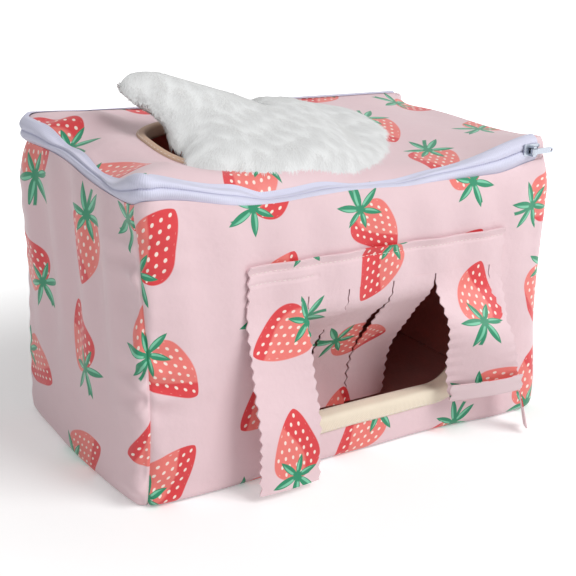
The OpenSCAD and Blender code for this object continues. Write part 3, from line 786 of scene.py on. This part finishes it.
def binding_grid(count):
    """The folded tape, carried round the doorway: each point of the fold's profile keeps its distance
    from the doorway's edge and its depth below the wall's face, with a slight pucker at the stitches."""
    rows = []
    for out, deep in zip(fold_out, fold_deep):
        x, z = door_line(out, count)
        pinch = 0.00007 * np.sin(np.arange(count) * 2.1) * (0.3 < out / binding_w < 0.95)
        rows.append(on_front(x, z, (deep + pinch) * (pressed(z) if deep < 0 else 1)))
    around = np.arange(count + 1) / count * door_round
    across = np.linspace(0, binding_cut, len(rows))
    return np.stack(rows), np.stack(np.meshgrid(around, across), -1)


grid, flat = binding_grid(360)
door_binding = cloth_mesh("door_binding", grid, flat, loop=True)
clothe(door_binding, binding_t, binding_cloth)
fit(door_binding, "box", "entrance_binding")

thread, tree, shader, spot = finish_of("thread", 0.6, 0.3, on_cloth=False)
ply = noise(tree, spot, 2600, 2)
dye(tree, shader, colour(244, 232, 226), ply * 0.2 + 0.88)
raise_bump(tree, shader, ply, 0.4, 0.0001)
stitch_long, stitch_thick, stitch_proud = 0.0021, 0.00042, 0.00125
binding_stitch, header_stitch = 0.0032, 0.0031  # from one stitch to the next


def gone_along(line):
    """Distance gone along a line of points, at each of them."""
    return np.concatenate([[0], np.cumsum(np.linalg.norm(np.diff(line, axis=0), axis=1))])


def stitch_row(name, line, up, pitch, body):
    """A row of machine stitches along a line of points: at each pitch, a small rounded bar that lies
    along the line and stands half out of the cloth, which faces up."""
    steps = gone_along(line)
    at = np.arange(pitch / 2, steps[-1], pitch)
    mid, ahead = (np.stack([np.interp(at + more, steps, axis) for axis in line.T], -1)
                  for more in (0, 0.0004))
    along = unit(ahead - mid)[:, None, None]
    across = np.cross(up, along)
    lap = np.linspace(0, np.pi, 5)[:, None]
    turn = np.arange(6) / 6 * 2 * np.pi
    l, r = -np.cos(lap) * stitch_long / 2 + 0 * turn, np.sin(lap) ** 0.5 * stitch_thick / 2
    a, u = r * np.cos(turn), r * np.sin(turn) * 0.8
    bars = mid[:, None, None] + l[..., None] * along + a[..., None] * across + u[..., None] * np.array(up)
    corners = grid_corners(4, 6)
    faces = corners[..., 0] * 6 + corners[..., 1] % 6
    every = (faces + 30 * np.arange(len(at))[:, None, None]).reshape(-1, 4)
    stitches = new_piece(name, bars, every)
    stitches.data.materials.append(thread)
    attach(stitches, body)


x, z = door_line(0.86 * binding_w, 361)
line = on_front(x, z, -stitch_proud * pressed(z))
stitch_row("door_binding_stitches", line, (0, -1, 0), binding_stitch, "box")


# Curtain header
# The top of the curtain, a strip of the printed fabric folded double and sewn on above the
# doorway with two rows of stitches. Its top edge stands off the wall, and its ends are pinked.
header_low, header_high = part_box("curtain_header")
pink_pitch, pink_depth = 0.007, 0.002
header_t = 0.0011
curtain_print = 0.52, 0.21  # where the curtain is cut from the print


def teeth(along, pitch, deep):
    """The zigzag of pinking shears: a triangle wave from 0 to deep along an edge."""
    return deep * np.abs(2 * (along / pitch - np.floor(along / pitch + 0.5)))


def header_grid(cols, rows):
    """The header's face: it lies on the wall, bellies out slightly between its two rows of stitches
    and curls off the wall along its top edge. Its ends follow the pinked zigzag."""
    z = np.linspace(header_low.z, header_high.z, rows)[:, None]
    share = np.linspace(0, 1, cols)[None, :]
    cut = teeth(z - header_low.z, pink_pitch, pink_depth)
    x = header_low.x + cut + share * (header_high.x - header_low.x - 2 * cut)
    up = (z - header_low.z) / (header_high.z - header_low.z)
    proud = 0.0021 + 0.0012 * smooth((up - 0.84) / 0.16) + 0.0004 * np.sin(np.pi * up)
    proud = proud - 0.0005 * bump((up - 0.79) / 0.05) - 0.0004 * bump((up - 0.5) / 0.05) * (share < 0.25)
    proud = proud + 0.0004 * ripple(x * 3, z * 3)
    return on_front(x, z + 0 * x, -proud), np.stack([x, z + 0 * x], -1)


grid, flat = header_grid(200, 43)
header = cloth_mesh("curtain_top", grid, flat + curtain_print)
clothe(header, header_t, printed_fabric, fabric_back)
fit(header, "box", "curtain_header")

for name, z, ends in (("upper", 0.1319, (header_low.x + 0.002, header_high.x - 0.002)),
                      ("lower", 0.1252, (header_low.x + 0.002, header_low.x + 0.046))):
    x = np.linspace(*ends, 160)
    line = on_front(x, z + 0 * x, -0.00215)
    stitch_row(f"curtain_stitches_{name}", line, (0, -1, 0), header_stitch, "box")


# Curtain strips
# Six strips cut from the same cloth with pinking shears, which hang on from the header. The
# first and the last two hang in front of the wall, and the three between are pushed inside.
slit_w = 0.001
strip_widths = np.array([42, 29, 34, 33, 44, 13]) / 1000
strip_lefts = header_low.x + np.concatenate([[0], np.cumsum(strip_widths)[:-1]]) + slit_w / 2
strip_stray, stray_drop = 0.018, 0.108
bend_len = 0.024
# For each strip: angle from upright below the bend and at the end, outwards below zero, and length
strip_ways = [
    (-17, -10.5, 0.111), (44, 3, 0.111), (44, 3, 0.111), (44, 3, 0.111), (-42, 2, 0.1), (-18, -10.5, 0.112)]


def strip_grid(number, cols, rows):
    """A strip's face. Down its length, the angle from upright eases from 0 to the first angle and on
    to the last one, and the steps are summed up. The cloth curls a little across its width, its long
    edges are pinked, and the last two strips stray to the right. The fifth strip's end is turned up
    outwards, and the sixth strip twists edge on."""
    first, last, length = strip_ways[number]
    width, left = strip_widths[number] - slit_w, strip_lefts[number]
    s = np.linspace(0, length, rows)[:, None]
    share = np.linspace(0, 1, cols)[None, :]
    if number == 4:
        knee = 0.012 + 0.03 * share
        angle = np.radians(first * smooth(s / bend_len) + (last - first) * smooth((s - knee) / 0.035))
        angle = angle - np.radians(178) * smooth((s - 0.087) / 0.003)
    else:
        slack = smooth((s - bend_len) / (length - bend_len))
        angle = np.radians(first * smooth(s / bend_len) + (last - first) * slack) + 0 * share
    step = length / (rows - 1)
    y = np.cumsum(np.sin(angle), 0) * step - np.sin(angle[:1]) * step
    drop = np.cumsum(np.cos(angle), 0) * step - np.cos(angle[:1]) * step
    stray = strip_stray * (drop / stray_drop) ** 1.5 if number > 3 else 0
    cut = (teeth(s + 0.002, pink_pitch, pink_depth) - pink_depth / 2) * smooth(s / 0.012)
    flat_x = left + width * share + cut * np.abs(2 * share - 1) ** 3
    twist = np.radians(50) * smooth((s - 0.02) / 0.06) if number == 5 else 0
    aside = flat_x - left - width / 2
    x = left + width / 2 + aside * np.cos(twist) + stray
    free = smooth(s / 0.05)
    curl = 0.0022 * (2 * share - 1) ** 2 * free * np.sin(number * 2 + s / 0.03)
    wave = 0.0012 * np.sin(2 * np.pi * s / 0.06 + number) * free
    top = on_front(x[:1], header_low.z + 0 * x[:1], -0.0021)
    out_y = top[..., 1] * (1 - free) + top[..., 1].mean() * free + y - curl - wave + aside * np.sin(twist)
    flat = np.stack([flat_x, header_low.z - s + 0 * share], -1)
    return np.stack([x, out_y, header_low.z - drop], -1), flat


for number in range(6):
    cols = max(8, int(strip_widths[number] / 0.0016))
    grid, flat = strip_grid(number, cols, 193 if number == 4 else 97)
    strip = cloth_mesh(f"strip_cloth_{number + 1}", grid, flat + curtain_print, flip=True)
    clothe(strip, fabric_t, printed_fabric, fabric_back)
    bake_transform(strip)
    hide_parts(f"curtain_strip_{number + 1}")


# Lid
# A flap of the printed fabric over a thin pad, lined inside and sewn to the zip's upper tape. It
# sags towards the front and left, and its round hole is bound with a tape in a darker tan than the
# doorway's cream: partly its own colour, partly painted shade of the mat over the hole.
lid_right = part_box("lid_panel")[1].x
hole_low, hole_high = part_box("lid_hole_binding")
hole_flange, hole_drawn = 0.0085, 0.002
hole_x = (hole_low.x + hole_high.x) / 2
hole_r = (hole_high.x - hole_low.x) / 2 - hole_flange - hole_drawn
lid_skin, lid_pad_t = 0.001, 0.0038
lid_print = 1.74, 0.055  # where the lid is cut from the print


def lying_flat(x):
    """Share by which the zip lies flat: fully in the middle of the front, not at all at its ends."""
    return smooth((x + 0.125) / 0.05) * smooth((0.1 - x) / 0.07)


def front_inset(x):
    """How far the lid's front edge lies behind the wall: most where the zip lies flat."""
    return 0.007 + 0.005 * lying_flat(x) - 0.004 * smooth((-x - 0.134) / 0.012)


def back_inset(x):
    """How far the lid's back edge lies inside the wall: hardly at the left corner."""
    return 0.0075 - 0.007 * smooth((-x - 0.11) / 0.04)


def left_inset(y):
    """How far the lid's left edge lies inside the wall: little at the front corner, and beyond the wall
    at the back."""
    return 0.0085 - 0.0065 * smooth((-y - 0.02) / 0.045) - 0.0105 * smooth((y - 0.02) / 0.055)


def lid_inset(x, y, nx, ny):
    """How far the lid's edge lies inside the walls' outline, on each of the four sides."""
    return by_facing(nx, ny, front_inset(x), half_w - lid_right, back_inset(x), left_inset(y))


def lid_front(x):
    """Height of the lid's front edge: low and slightly waved in the middle, up at both corners."""
    rise = 0.0238 * smooth((x - 0.025) / 0.125) + 0.0255 * np.clip((-x - 0.068) / 0.085, 0, 1)
    waves = 0.003 * bump((x + 0.026) / 0.018) + 0.0014 * bump((x - 0.05) / 0.016)
    return 0.1689 + rise + waves + 0.002 * bump((x + 0.085) / 0.012)


def lid_left(y):
    """Height of the lid's left edge: it climbs to the back, and up again into the front corner."""
    t = (y + 0.016) / 0.104
    corners = 0.0165 * smooth((-y - 0.026) / 0.048) + 0.0033 * smooth((y - 0.028) / 0.025)
    return 0.179 + 0.012 * t + 0.006 * t * t + corners + 0.0013 * np.sin(y / 0.00716)


def lid_surface(x, y):
    """Height of the lid's top face: its four edges' heights, mixed by one over the squared distance to
    each, plus a sag in the middle, a soft crown to the left, a full front edge behind the zip, and a
    crest and a valley near the back left. Round the hole it dips to the rim, which falls to the front."""
    to_front = y + half_d - front_inset(x)
    to_back, to_left, to_right = half_d - back_inset(x) - y, x + half_w - left_inset(y), lid_right - x
    weights = [1 / np.maximum(0.0004, d) ** 2 for d in (to_front, to_back, to_left, to_right)]
    heights = (lid_front(x), 0.198 + 0 * x, lid_left(y), 0.1905 + 0.001 * np.sin(y / 0.02))
    edge = sum(w * h for w, h in zip(weights, heights)) / sum(weights)
    near_x, near_y = np.minimum(to_left, to_right), np.minimum(to_front, to_back)
    crown = (-0.002 + 0.01 * smooth((-x - 0.06) / 0.05)) * fullness(near_x, 0.035) * fullness(near_y, 0.035)
    crown = crown + 0.0075 * lying_flat(x) * fullness(to_front, 0.018) * smooth((0.07 - to_front) / 0.05)
    fold = smooth((-x - 0.075) / 0.03) * fullness(near_x, 0.02)
    crest = 0.0022 * bump((y - 0.042) / 0.008) - 0.0034 * bump((y - 0.059) / 0.006)
    slow = 0.0012 * ripple(x + 3, y) * fullness(near_x, 0.02) * fullness(near_y, 0.02)
    rim = 0.1832 + 0.0085 * smooth((y + 0.045) / 0.055)
    round_hole = smooth((hole_r + 0.034 - np.hypot(x - hole_x, y)) / 0.03) * fullness(near_y, 0.02)
    return (edge + crown + crest * fold) * (1 - round_hole) + rim * round_hole + slow


def lid_rings(rings, count, short, deep, edge_deep, edge_band):
    """Rings on the lid from a circle round the hole to the lid's edge, or short of it, on straight
    rays from the hole's middle, at a depth below the top face that eases to another one at the edge."""
    turn = np.arange(count) / count * 2 * np.pi
    reach = plan_reach(turn, 240, lambda *at: lid_inset(*at) + short, hole_x)
    inner = hole_r + cut_ease
    far = inner + (reach - inner) * np.linspace(0, 1, rings)[:, None]
    x, y = hole_x + far * np.cos(turn), far * np.sin(turn)
    sunk = deep + (edge_deep - deep) * smooth((far - reach + edge_band) / edge_band)
    return np.stack([x, y, lid_surface(x, y) - sunk], -1), np.stack([x, y], -1)


# For each layer: how far it ends short of the edge, its depth, its depth at the edge and how soon it
# comes to that, and its thickness
under_pad = lid_skin + lid_pad_t + 0.0009
lid_layers = [
    ("lid_fabric", "lid_panel", "printed_fabric", printed_fabric, 0.0, 0.0, 0.0014, 0.004, fabric_t),
    ("lid_pad", "lid_padding", "padding", foam, 0.0125, lid_skin, lid_skin, 0.004, lid_pad_t),
    ("lid_inside", "lid_lining", "lining", lining, 0.003, under_pad, 0.0016, 0.0075, lining_t),
]
for name, node, slot, cloth, short, deep, edge_deep, edge_band, thick in lid_layers:
    rings, count = (70, 420) if deep == 0 else (40, 240)
    grid, flat = lid_rings(rings, count, short, deep, edge_deep, edge_band)
    layer = cloth_mesh(name, grid, close_loop(flat + lid_print), loop=True, flip=slot != "lining")
    clothe(layer, thick, cloth, None if deep else fabric_back)
    fit(layer, "lid", node)
    slot == "padding"

# Across the tape on the hole's edge: distance out from the edge, and depth below the lid's face
hole_out = np.array([5.4, 5.2, 4.6, 3.6, 2.3, 1, 0, -0.4, -0.5, -0.4, 0, 1, 4, 7.5, 8.3]) / 1000
hole_deep = np.array(
    [-0.2, -0.8, -1.1, -1.4, -1.6, -1.5, -0.9, 0.4, 2.8, 5.2, 6.6, 7.3, 7.3, 7.1, 6.7]) / 1000
hole_round, hole_cut = 2 * np.pi * hole_r, 0.024  # the tape, unfolded
turn = np.arange(240) / 240 * 2 * np.pi
far = hole_r + hole_out[:, None]
x, y = hole_x + far * np.cos(turn), far * np.sin(turn)
grid = np.stack([x, y, lid_surface(x, y) - hole_deep[:, None]], -1)
flat = np.stack(np.meshgrid(np.linspace(0, hole_round, 241), np.linspace(0, hole_cut, len(hole_out))), -1)
hole_binding = cloth_mesh("hole_binding", grid, flat, loop=True)
# The hole's tape is darker than the doorway's cream binding: partly its own tan, partly painted shade of the
# mat over the hole
clothe(hole_binding, binding_t, binding_finish("hole_tape_tan_and_shade", colour(206, 172, 146)))
fit(hole_binding, "lid", "lid_hole_binding")

turn, far = np.linspace(0, 2 * np.pi, 241), hole_r + 0.0044
x, y = hole_x + far * np.cos(turn), far * np.sin(turn)
line = np.stack([x, y, lid_surface(x, y) + stitch_proud], -1)
stitch_row("hole_binding_stitches", line, (0, 0, 1), binding_stitch, "lid")


# Zip and hinge strip
# A pale lilac coil zip along the front, the left and the back. Its lower tape is sewn into the walls'
# top edge and its upper tape under the lid's edge. A strip of the print closes the right side.
tape_in, tape_rise, tape_width, tape_t = 0.003, 0.02, 0.016, 0.0005
zip_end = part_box("zip_stops_body")[0].x

zip_cloth, tree, shader, spot = finish_of("zip_cloth", 0.55, 0.2)
u, v = place_on(tree, spot)
ribs = (u * (2 * np.pi / 0.0013)).math("SINE") * 0.5 + 0.5
wear = noise(tree, spot, 80)
# Painted shade of the ribs: lighter on their tops and darker between them; the wear is a random tone
dye(tree, shader, colour(222, 222, 243), ribs * 0.06 + wear * 0.08 + 0.91)
raise_bump(tree, shader, ribs + wear * 2, 0.4, 0.0003)

zip_plastic, tree, shader, spot = finish_of("zip_plastic", 0.35)
wear = noise(tree, spot, 200)
dye(tree, shader, colour(214, 214, 236), wear * 0.1 + 0.92)
feed(tree, shader["Roughness"], wear * 0.2 + 0.25)

# Where the zip and the hinge strip run, wall by wall
zip_runs = [(FRONT, zip_end, -panel_half(FRONT)), (LEFT, panel_half(LEFT), -panel_half(LEFT)),
            (BACK, panel_half(BACK), -zip_end)]
hinge_runs = [(FRONT, zip_end, panel_half(FRONT)), (RIGHT, -panel_half(RIGHT), panel_half(RIGHT)),
              (BACK, -panel_half(BACK), -zip_end)]


def edge_walk(runs, step):
    """A path round the walls' top edge, seen from above, along one wall after another. Returns the
    walls' outline and its outward normal at even steps."""
    parts = [plan_place(side, np.linspace(a, b, int(abs(b - a) / step), endpoint=side == BACK), 0)
             for side, a, b in runs]
    return [np.concatenate(column) for column in zip(*parts)]


def band_place(walk, s, belly, roll=0.0, deep=0.0, lap=0.0011):
    """A point across the band between the walls' top edge, at s = 0, and the lid's edge, at s = 1: the
    straight line between the two, bellied out, with each half rolled where roll is given. Below 0 the
    band goes down behind the wall, and beyond 1 it laps over the lid, or under it with a lap below 0."""
    x, y, nx, ny = walk
    base, low_z = flare(x, y) - tape_in, wall_top(x, y, nx, ny)
    inset = lid_inset(x, y, nx, ny)
    top_z = lid_surface(x - nx * inset, y - ny * inset) + lap
    run_n, run_z = -inset - base, top_z - low_z
    long = np.hypot(run_n, run_z)
    t = np.clip(s, 0, 1)
    out = belly * 4 * t * (1 - t) + roll * np.abs(np.sin(2 * np.pi * t)) - deep
    n = base + t * run_n + out * run_z / long - 0.017 * np.maximum(0, s - 1)
    z = low_z + t * run_z - out * run_n / long + tape_rise * np.minimum(0, s)
    px, py = x + nx * n, y + ny * n
    under = lid_surface(px, py) + lap * (2 - s)
    return np.stack([px, py, np.where(s > 1, under, z)], -1)


zip_line = edge_walk(zip_runs, 0.001)
zip_length = gone_along(np.stack(zip_line[:2], -1))


def zip_swell(walk):
    """How far the band bellies out and how far each half rolls: less where the zip lies flat."""
    flat_share = lying_flat(walk[0]) * (walk[3] < -0.7)
    return 0.0024 - 0.0018 * flat_share, 0.0017 - 0.0011 * flat_share


# For each half of the zip: where its tape lies across the band, the tape's width and what it is sewn to
box_across = np.concatenate([np.linspace(-0.34, 0, 5), np.linspace(0.06, 0.46, 12)])
lid_across = np.concatenate([np.linspace(0.54, 0.95, 12), np.linspace(1, 1.15, 4)])
for name, node, body, across, flat_w, sewn_to in (
        ("box_tape", "zip_tape_body", "box", box_across, tape_width, "front_fabric"),
        ("lid_tape", "zip_tape_lid", "lid", lid_across, 0.013, "lid_fabric")):
    grid = np.stack([band_place(zip_line, s, *zip_swell(zip_line)) for s in across])
    tape = cloth_mesh(name, grid, np.stack(np.meshgrid(zip_length, across * tape_width), -1), flip=True)
    clothe(tape, tape_t, zip_cloth)
    fit(tape, body, node)

coil_r, coil_pitch = 0.0008, 0.0016
coil_line = edge_walk(zip_runs, 0.0004)
coil_length = gone_along(np.stack(coil_line[:2], -1))


def coil_grid(share):
    """One half of the coil, as a ribbed tube along the band at a share of its width, set a little
    below the tape: the tube's radius swells once for each turn of the coil."""
    mid, above = (band_place(coil_line, s, *zip_swell(coil_line), 0.0011) for s in (share, share + 0.02))
    up = unit(above - mid)
    _, _, nx, ny = coil_line
    out = np.cross(up, np.stack([-ny, nx, 0 * nx], -1))
    swell = coil_r * (1 + 0.3 * np.sin(2 * np.pi * coil_length / coil_pitch))
    turn = np.arange(9)[:, None] / 8 * 2 * np.pi
    tube = mid + swell[:, None] * (np.cos(turn[:8])[..., None] * out + np.sin(turn[:8])[..., None] * up)
    return tube.transpose(1, 0, 2), np.stack(np.meshgrid(turn * coil_r, coil_length), -1)


for name, node, body, share in (("box_coil", "zip_coil_body", "box", 0.455),
                                ("lid_coil", "zip_coil_lid", "lid", 0.545)):
    grid, flat = coil_grid(share)
    coil = cloth_mesh(name, grid, flat, loop=True)
    coil.data.materials.append(zip_plastic)
    fit(coil, body, node)

hinge_print = 2.4, 0.1  # where the hinge strip is cut from the print
hinge_line = edge_walk(hinge_runs, 0.0012)
hinge_length = gone_along(np.stack(hinge_line[:2], -1))
across = np.concatenate([np.linspace(-0.34, -0.02, 5), np.linspace(0.04, 1, 16), np.linspace(1.1, 1.5, 4)])
grid = np.stack([band_place(hinge_line, s, 0.0016, lap=-0.0011) for s in across])
flat = np.stack(np.meshgrid(hinge_length, across * tape_width), -1)
hinge_strip = cloth_mesh("hinge_strip", grid, flat + hinge_print)
clothe(hinge_strip, tape_t, printed_fabric, fabric_back)
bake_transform(hinge_strip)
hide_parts("lid_hinge_strip")


# Slider, pull and end stops
# Cast zinc with a bright plating: the slider rides on both halves of the coil, the pull hangs on
# the pin of its bridge, and small crimped stops close the ends of the chain.
zip_metal, tree, shader, spot = finish_of("zip_metal", 0.28, on_cloth=False)
feed(tree, shader["Metallic"], 1)
rub = noise(tree, spot, 700, 4)
dye(tree, shader, colour(172, 178, 188), rub * 0.2 + 0.88)
feed(tree, shader["Roughness"], rub * 0.25 + 0.16)
raise_bump(tree, shader, rub, 0.12, 0.0002)
for node in ("zip_slider", "zip_pull", "zip_stops_body", "zip_stops_lid"):
    for metal_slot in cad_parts[node].material_slots:
        metal_slot.material = zip_metal


# Plush mat
# A loose piece of thick white plush, laid over the hole in the lid. It follows the lid's slope to
# the front, and its left end stands up in a blunt tip. The long pile lies outwards from the middle.
mat_x, mat_y, mat_half_x, mat_half_y = -0.0125, -0.009, 0.0755, 0.046
mat_round = 3.2
mat_under, mat_over = 12, 50
stroked_to = np.array([-0.54, -0.78, 0.32])  # the side on which the pile has been stroked up


def mat_grid(cols):
    """The mat's skin: round its outline and from the middle of its underside over the rim to the middle
    of its top. It is a loaf with round corners that lies on the lid, lower to the right and the front,
    with a notch across its back. Its left end stands up and leans out at the back, and falls gently
    to the hole in front."""
    turn = np.arange(cols)[None, :] / cols * 2 * np.pi
    upper = 1 - 0.997 * np.linspace(0, 1, mat_over) ** 2
    share = np.concatenate([np.linspace(0.02, 0.98, mat_under), upper])[:, None]
    over = np.concatenate([np.zeros(mat_under), np.ones(mat_over)])[:, None]
    c, s = np.cos(turn), np.sin(turn)
    square = (np.abs(c) ** mat_round + np.abs(s) ** mat_round) ** (-1 / mat_round)
    wave = 1 + 0.02 * np.sin(3 * turn + 0.7) + 0.015 * np.sin(7 * turn)
    wave = wave - 0.19 * bump((turn - 5.6) / 0.45) + 0.13 * bump((turn - 3.75) / 0.35)
    wave = wave + 0.035 * bump((turn - 3) / 0.3)
    u, v = share * square * wave * c, share * square * wave * s
    x, y = mat_x + mat_half_x * u + 0.006 * v * smooth(-u), mat_y + mat_half_y * v
    gentle = smooth((-c - 0.2) / 0.5) * (1 - smooth((s + 0.1) / 0.6))
    lift = over * (1 - share ** (3.3 - gentle)) ** (0.35 + 0.25 * gentle)
    crown = 0.0252 * (0.83 - 0.24 * u) * (0.82 + 0.18 * v) + 0.0008 * ripple(x * 2.2 + 1, y * 2.2)
    notch = 0.008 * bump((u + 0.15) / 0.08) * smooth(v + 0.1)
    tip = smooth((-u - 0.25) / 0.7) * (0.15 + 0.85 * bump((v - 0.7) / 0.6))
    high = lift * (crown + 0.032 * tip - notch)
    lean = 0.041 * smooth((-u - 0.3) / 0.4) * bump((v - 0.75) / 0.45) * smooth(high / 0.03)
    z = lid_surface(x, np.maximum(y, -half_d + 0.02)) + 0.0016 + high
    return np.stack([x - lean, y, z], -1)


plush_skin, tree, shader, spot = finish_of("plush_skin", 0.95, 0.4, on_cloth=False)
fuzz = noise(tree, spot, 900, 4)
dye(tree, shader, colour(236, 237, 236), fuzz * 0.2 + 0.88)
raise_bump(tree, shader, fuzz, 0.7, 0.0012)

skin = mat_grid(120)
spread = np.stack(np.meshgrid(np.linspace(0, 0.45, 121), np.linspace(0, 0.2, len(skin))), -1)
mat_skin = cloth_mesh("mat_skin", skin, spread, loop=True)
mat_skin.data.materials.append(plush_skin)
fit(mat_skin, "mat", "plush_mat")

pile, tree, shader, spot = finish_of("pile", 0.7, 0.3)
# Painted shade in the pile: each hair goes from a grey root, standing in for the shade deep in the pile, to a
# white tip, times its tone, which is partly random and partly painted shade between the tufts
chance, up = place_on(tree, spot)
shaded_root_to_tip = mix(tree, up ** 0.6, colour(208, 205, 204), colour(250, 252, 252))
dye(tree, shader, shaded_root_to_tip, chance * 0.22 + 0.8)

hair_up = np.array([0, 0.36, 0.7, 1])  # the hair's four pairs of points, from its root to its tip
hair_wide = np.array([0.9, 1, 0.7, 0.08])
hair_faces = np.array([[0, 1, 3, 2], [2, 3, 5, 4], [4, 5, 7, 6]])
tuft_draw = np.random.default_rng(21)
tuft_ways = unit(tuft_draw.normal(size=(12, 3)))
tuft_waves = tuft_ways * 2 * np.pi / tuft_draw.uniform(0.007, 0.018, 12)[:, None]
tuft_starts = tuft_draw.uniform(0, 2 * np.pi, 12)


def fur(name, count, length, width, slant, seed):
    """Pile on the mat: roots scattered over the skin above its rim. A hair is a narrow tapered ribbon that
    leaves the skin slanted away from the middle and from a parting along the ridge, where the skin turns
    to the back. It stands up most on the front left, where it has been stroked up, bends with its weight,
    and leans to its neighbours, so that the pile parts into tufts. Hairs between the tufts get a painted
    shade, and every hair a painted shade at its root. Light scatters in the pile, so a hair is lit between
    the way of its skin and nearly straight up, and it neither casts a shadow nor keeps soft light from its
    neighbours."""
    draw = np.random.default_rng(seed)
    a, c = skin[:-1], skin[1:]
    b, d = np.roll(a, -1, 1), np.roll(c, -1, 1)
    face = np.cross(b - a, c - a)
    area = np.linalg.norm(face, axis=-1)
    weight = area * (np.arange(len(a)) > mat_under - 1)[:, None]
    pick = draw.choice(area.size, count, p=(weight / weight.sum()).ravel())
    f, g = draw.uniform(0, 1, (2, count, 1))
    a, b, c, d = (corner.reshape(-1, 3)[pick] for corner in (a, b, c, d))
    root = (a * (1 - f) + b * f) * (1 - g) + (c * (1 - f) + d * f) * g
    up = (face / (area[..., None] + 1e-12)).reshape(-1, 3)[pick]
    parting = np.tanh((up[:, 1] - 0.35) / 0.3)
    comb = np.stack([(root[:, 0] - mat_x) / 0.09, parting, 0 * parting - 0.45], -1)
    rise = 0.1 + (slant - 0.1) * smooth((up @ stroked_to - 0.3) / 0.4)[:, None]
    comb = comb + 0.25 * draw.normal(size=(count, 3))
    comb -= up * (comb * up).sum(1)[:, None]
    comb /= np.linalg.norm(comb, axis=1)[:, None] + 0.15
    phase = root @ tuft_waves.T + tuft_starts
    tuft = np.cos(phase) @ tuft_ways / 3
    tuft -= up * (tuft * up).sum(1)[:, None]
    # Painted shade between tufts: 1 on the tufts' crests and less between them, where the hairs are painted
    # darker
    tuft_crest_light = 0.5 + 0.5 * np.tanh(np.sin(phase).sum(1) / 2)
    long = length * draw.uniform(0.6, 1.15, (count, 1)) * (1 - 0.4 * smooth((root[:, 2:] - 0.2) / 0.02))
    t = hair_up[:, None, None]
    bend = t * (rise * up + 0.75 * comb) + t * t * (0.15 * comb - 0.4 * rise * up)
    line = root - 0.0006 * up + long * bend + 0.0026 * t ** 1.4 * tuft
    lit = 0.45 * up + (0.05, -0.15, 0.55)
    half = width / 2 * hair_wide[:, None, None] * unit(np.cross(line[3] - line[0], lit))
    ribbons = np.stack([line - half, line + half], 2).transpose(1, 0, 2, 3)
    piece = new_piece(name, ribbons, (hair_faces + 8 * np.arange(count)[:, None, None]).reshape(-1, 4))
    # Each hair's tone: partly random, partly the painted shade between tufts; and its share from root to tip,
    # for the root's painted shade
    tone_and_tuft_shade = np.repeat(0.4 * draw.uniform(0, 1, count) + 0.6 * tuft_crest_light, hair_faces.size)
    tip = np.tile(hair_up[(hair_faces // 2).ravel()], count)
    lay_map(piece, np.stack([tone_and_tuft_shade, tip], -1))
    piece.data.normals_split_custom_set_from_vertices(np.repeat(unit(lit), 8, 0))
    piece.data.materials.append(pile)
    piece.visible_shadow, piece.visible_diffuse = False, False
    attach(piece, "mat")


fur("pile_under", 32000, 0.0065, 0.0009, 0.3, 31)
fur("pile_middle", 32000, 0.009, 0.0005, 0.34, 32)
fur("pile_over", 32000, 0.012, 0.0004, 0.4, 33)
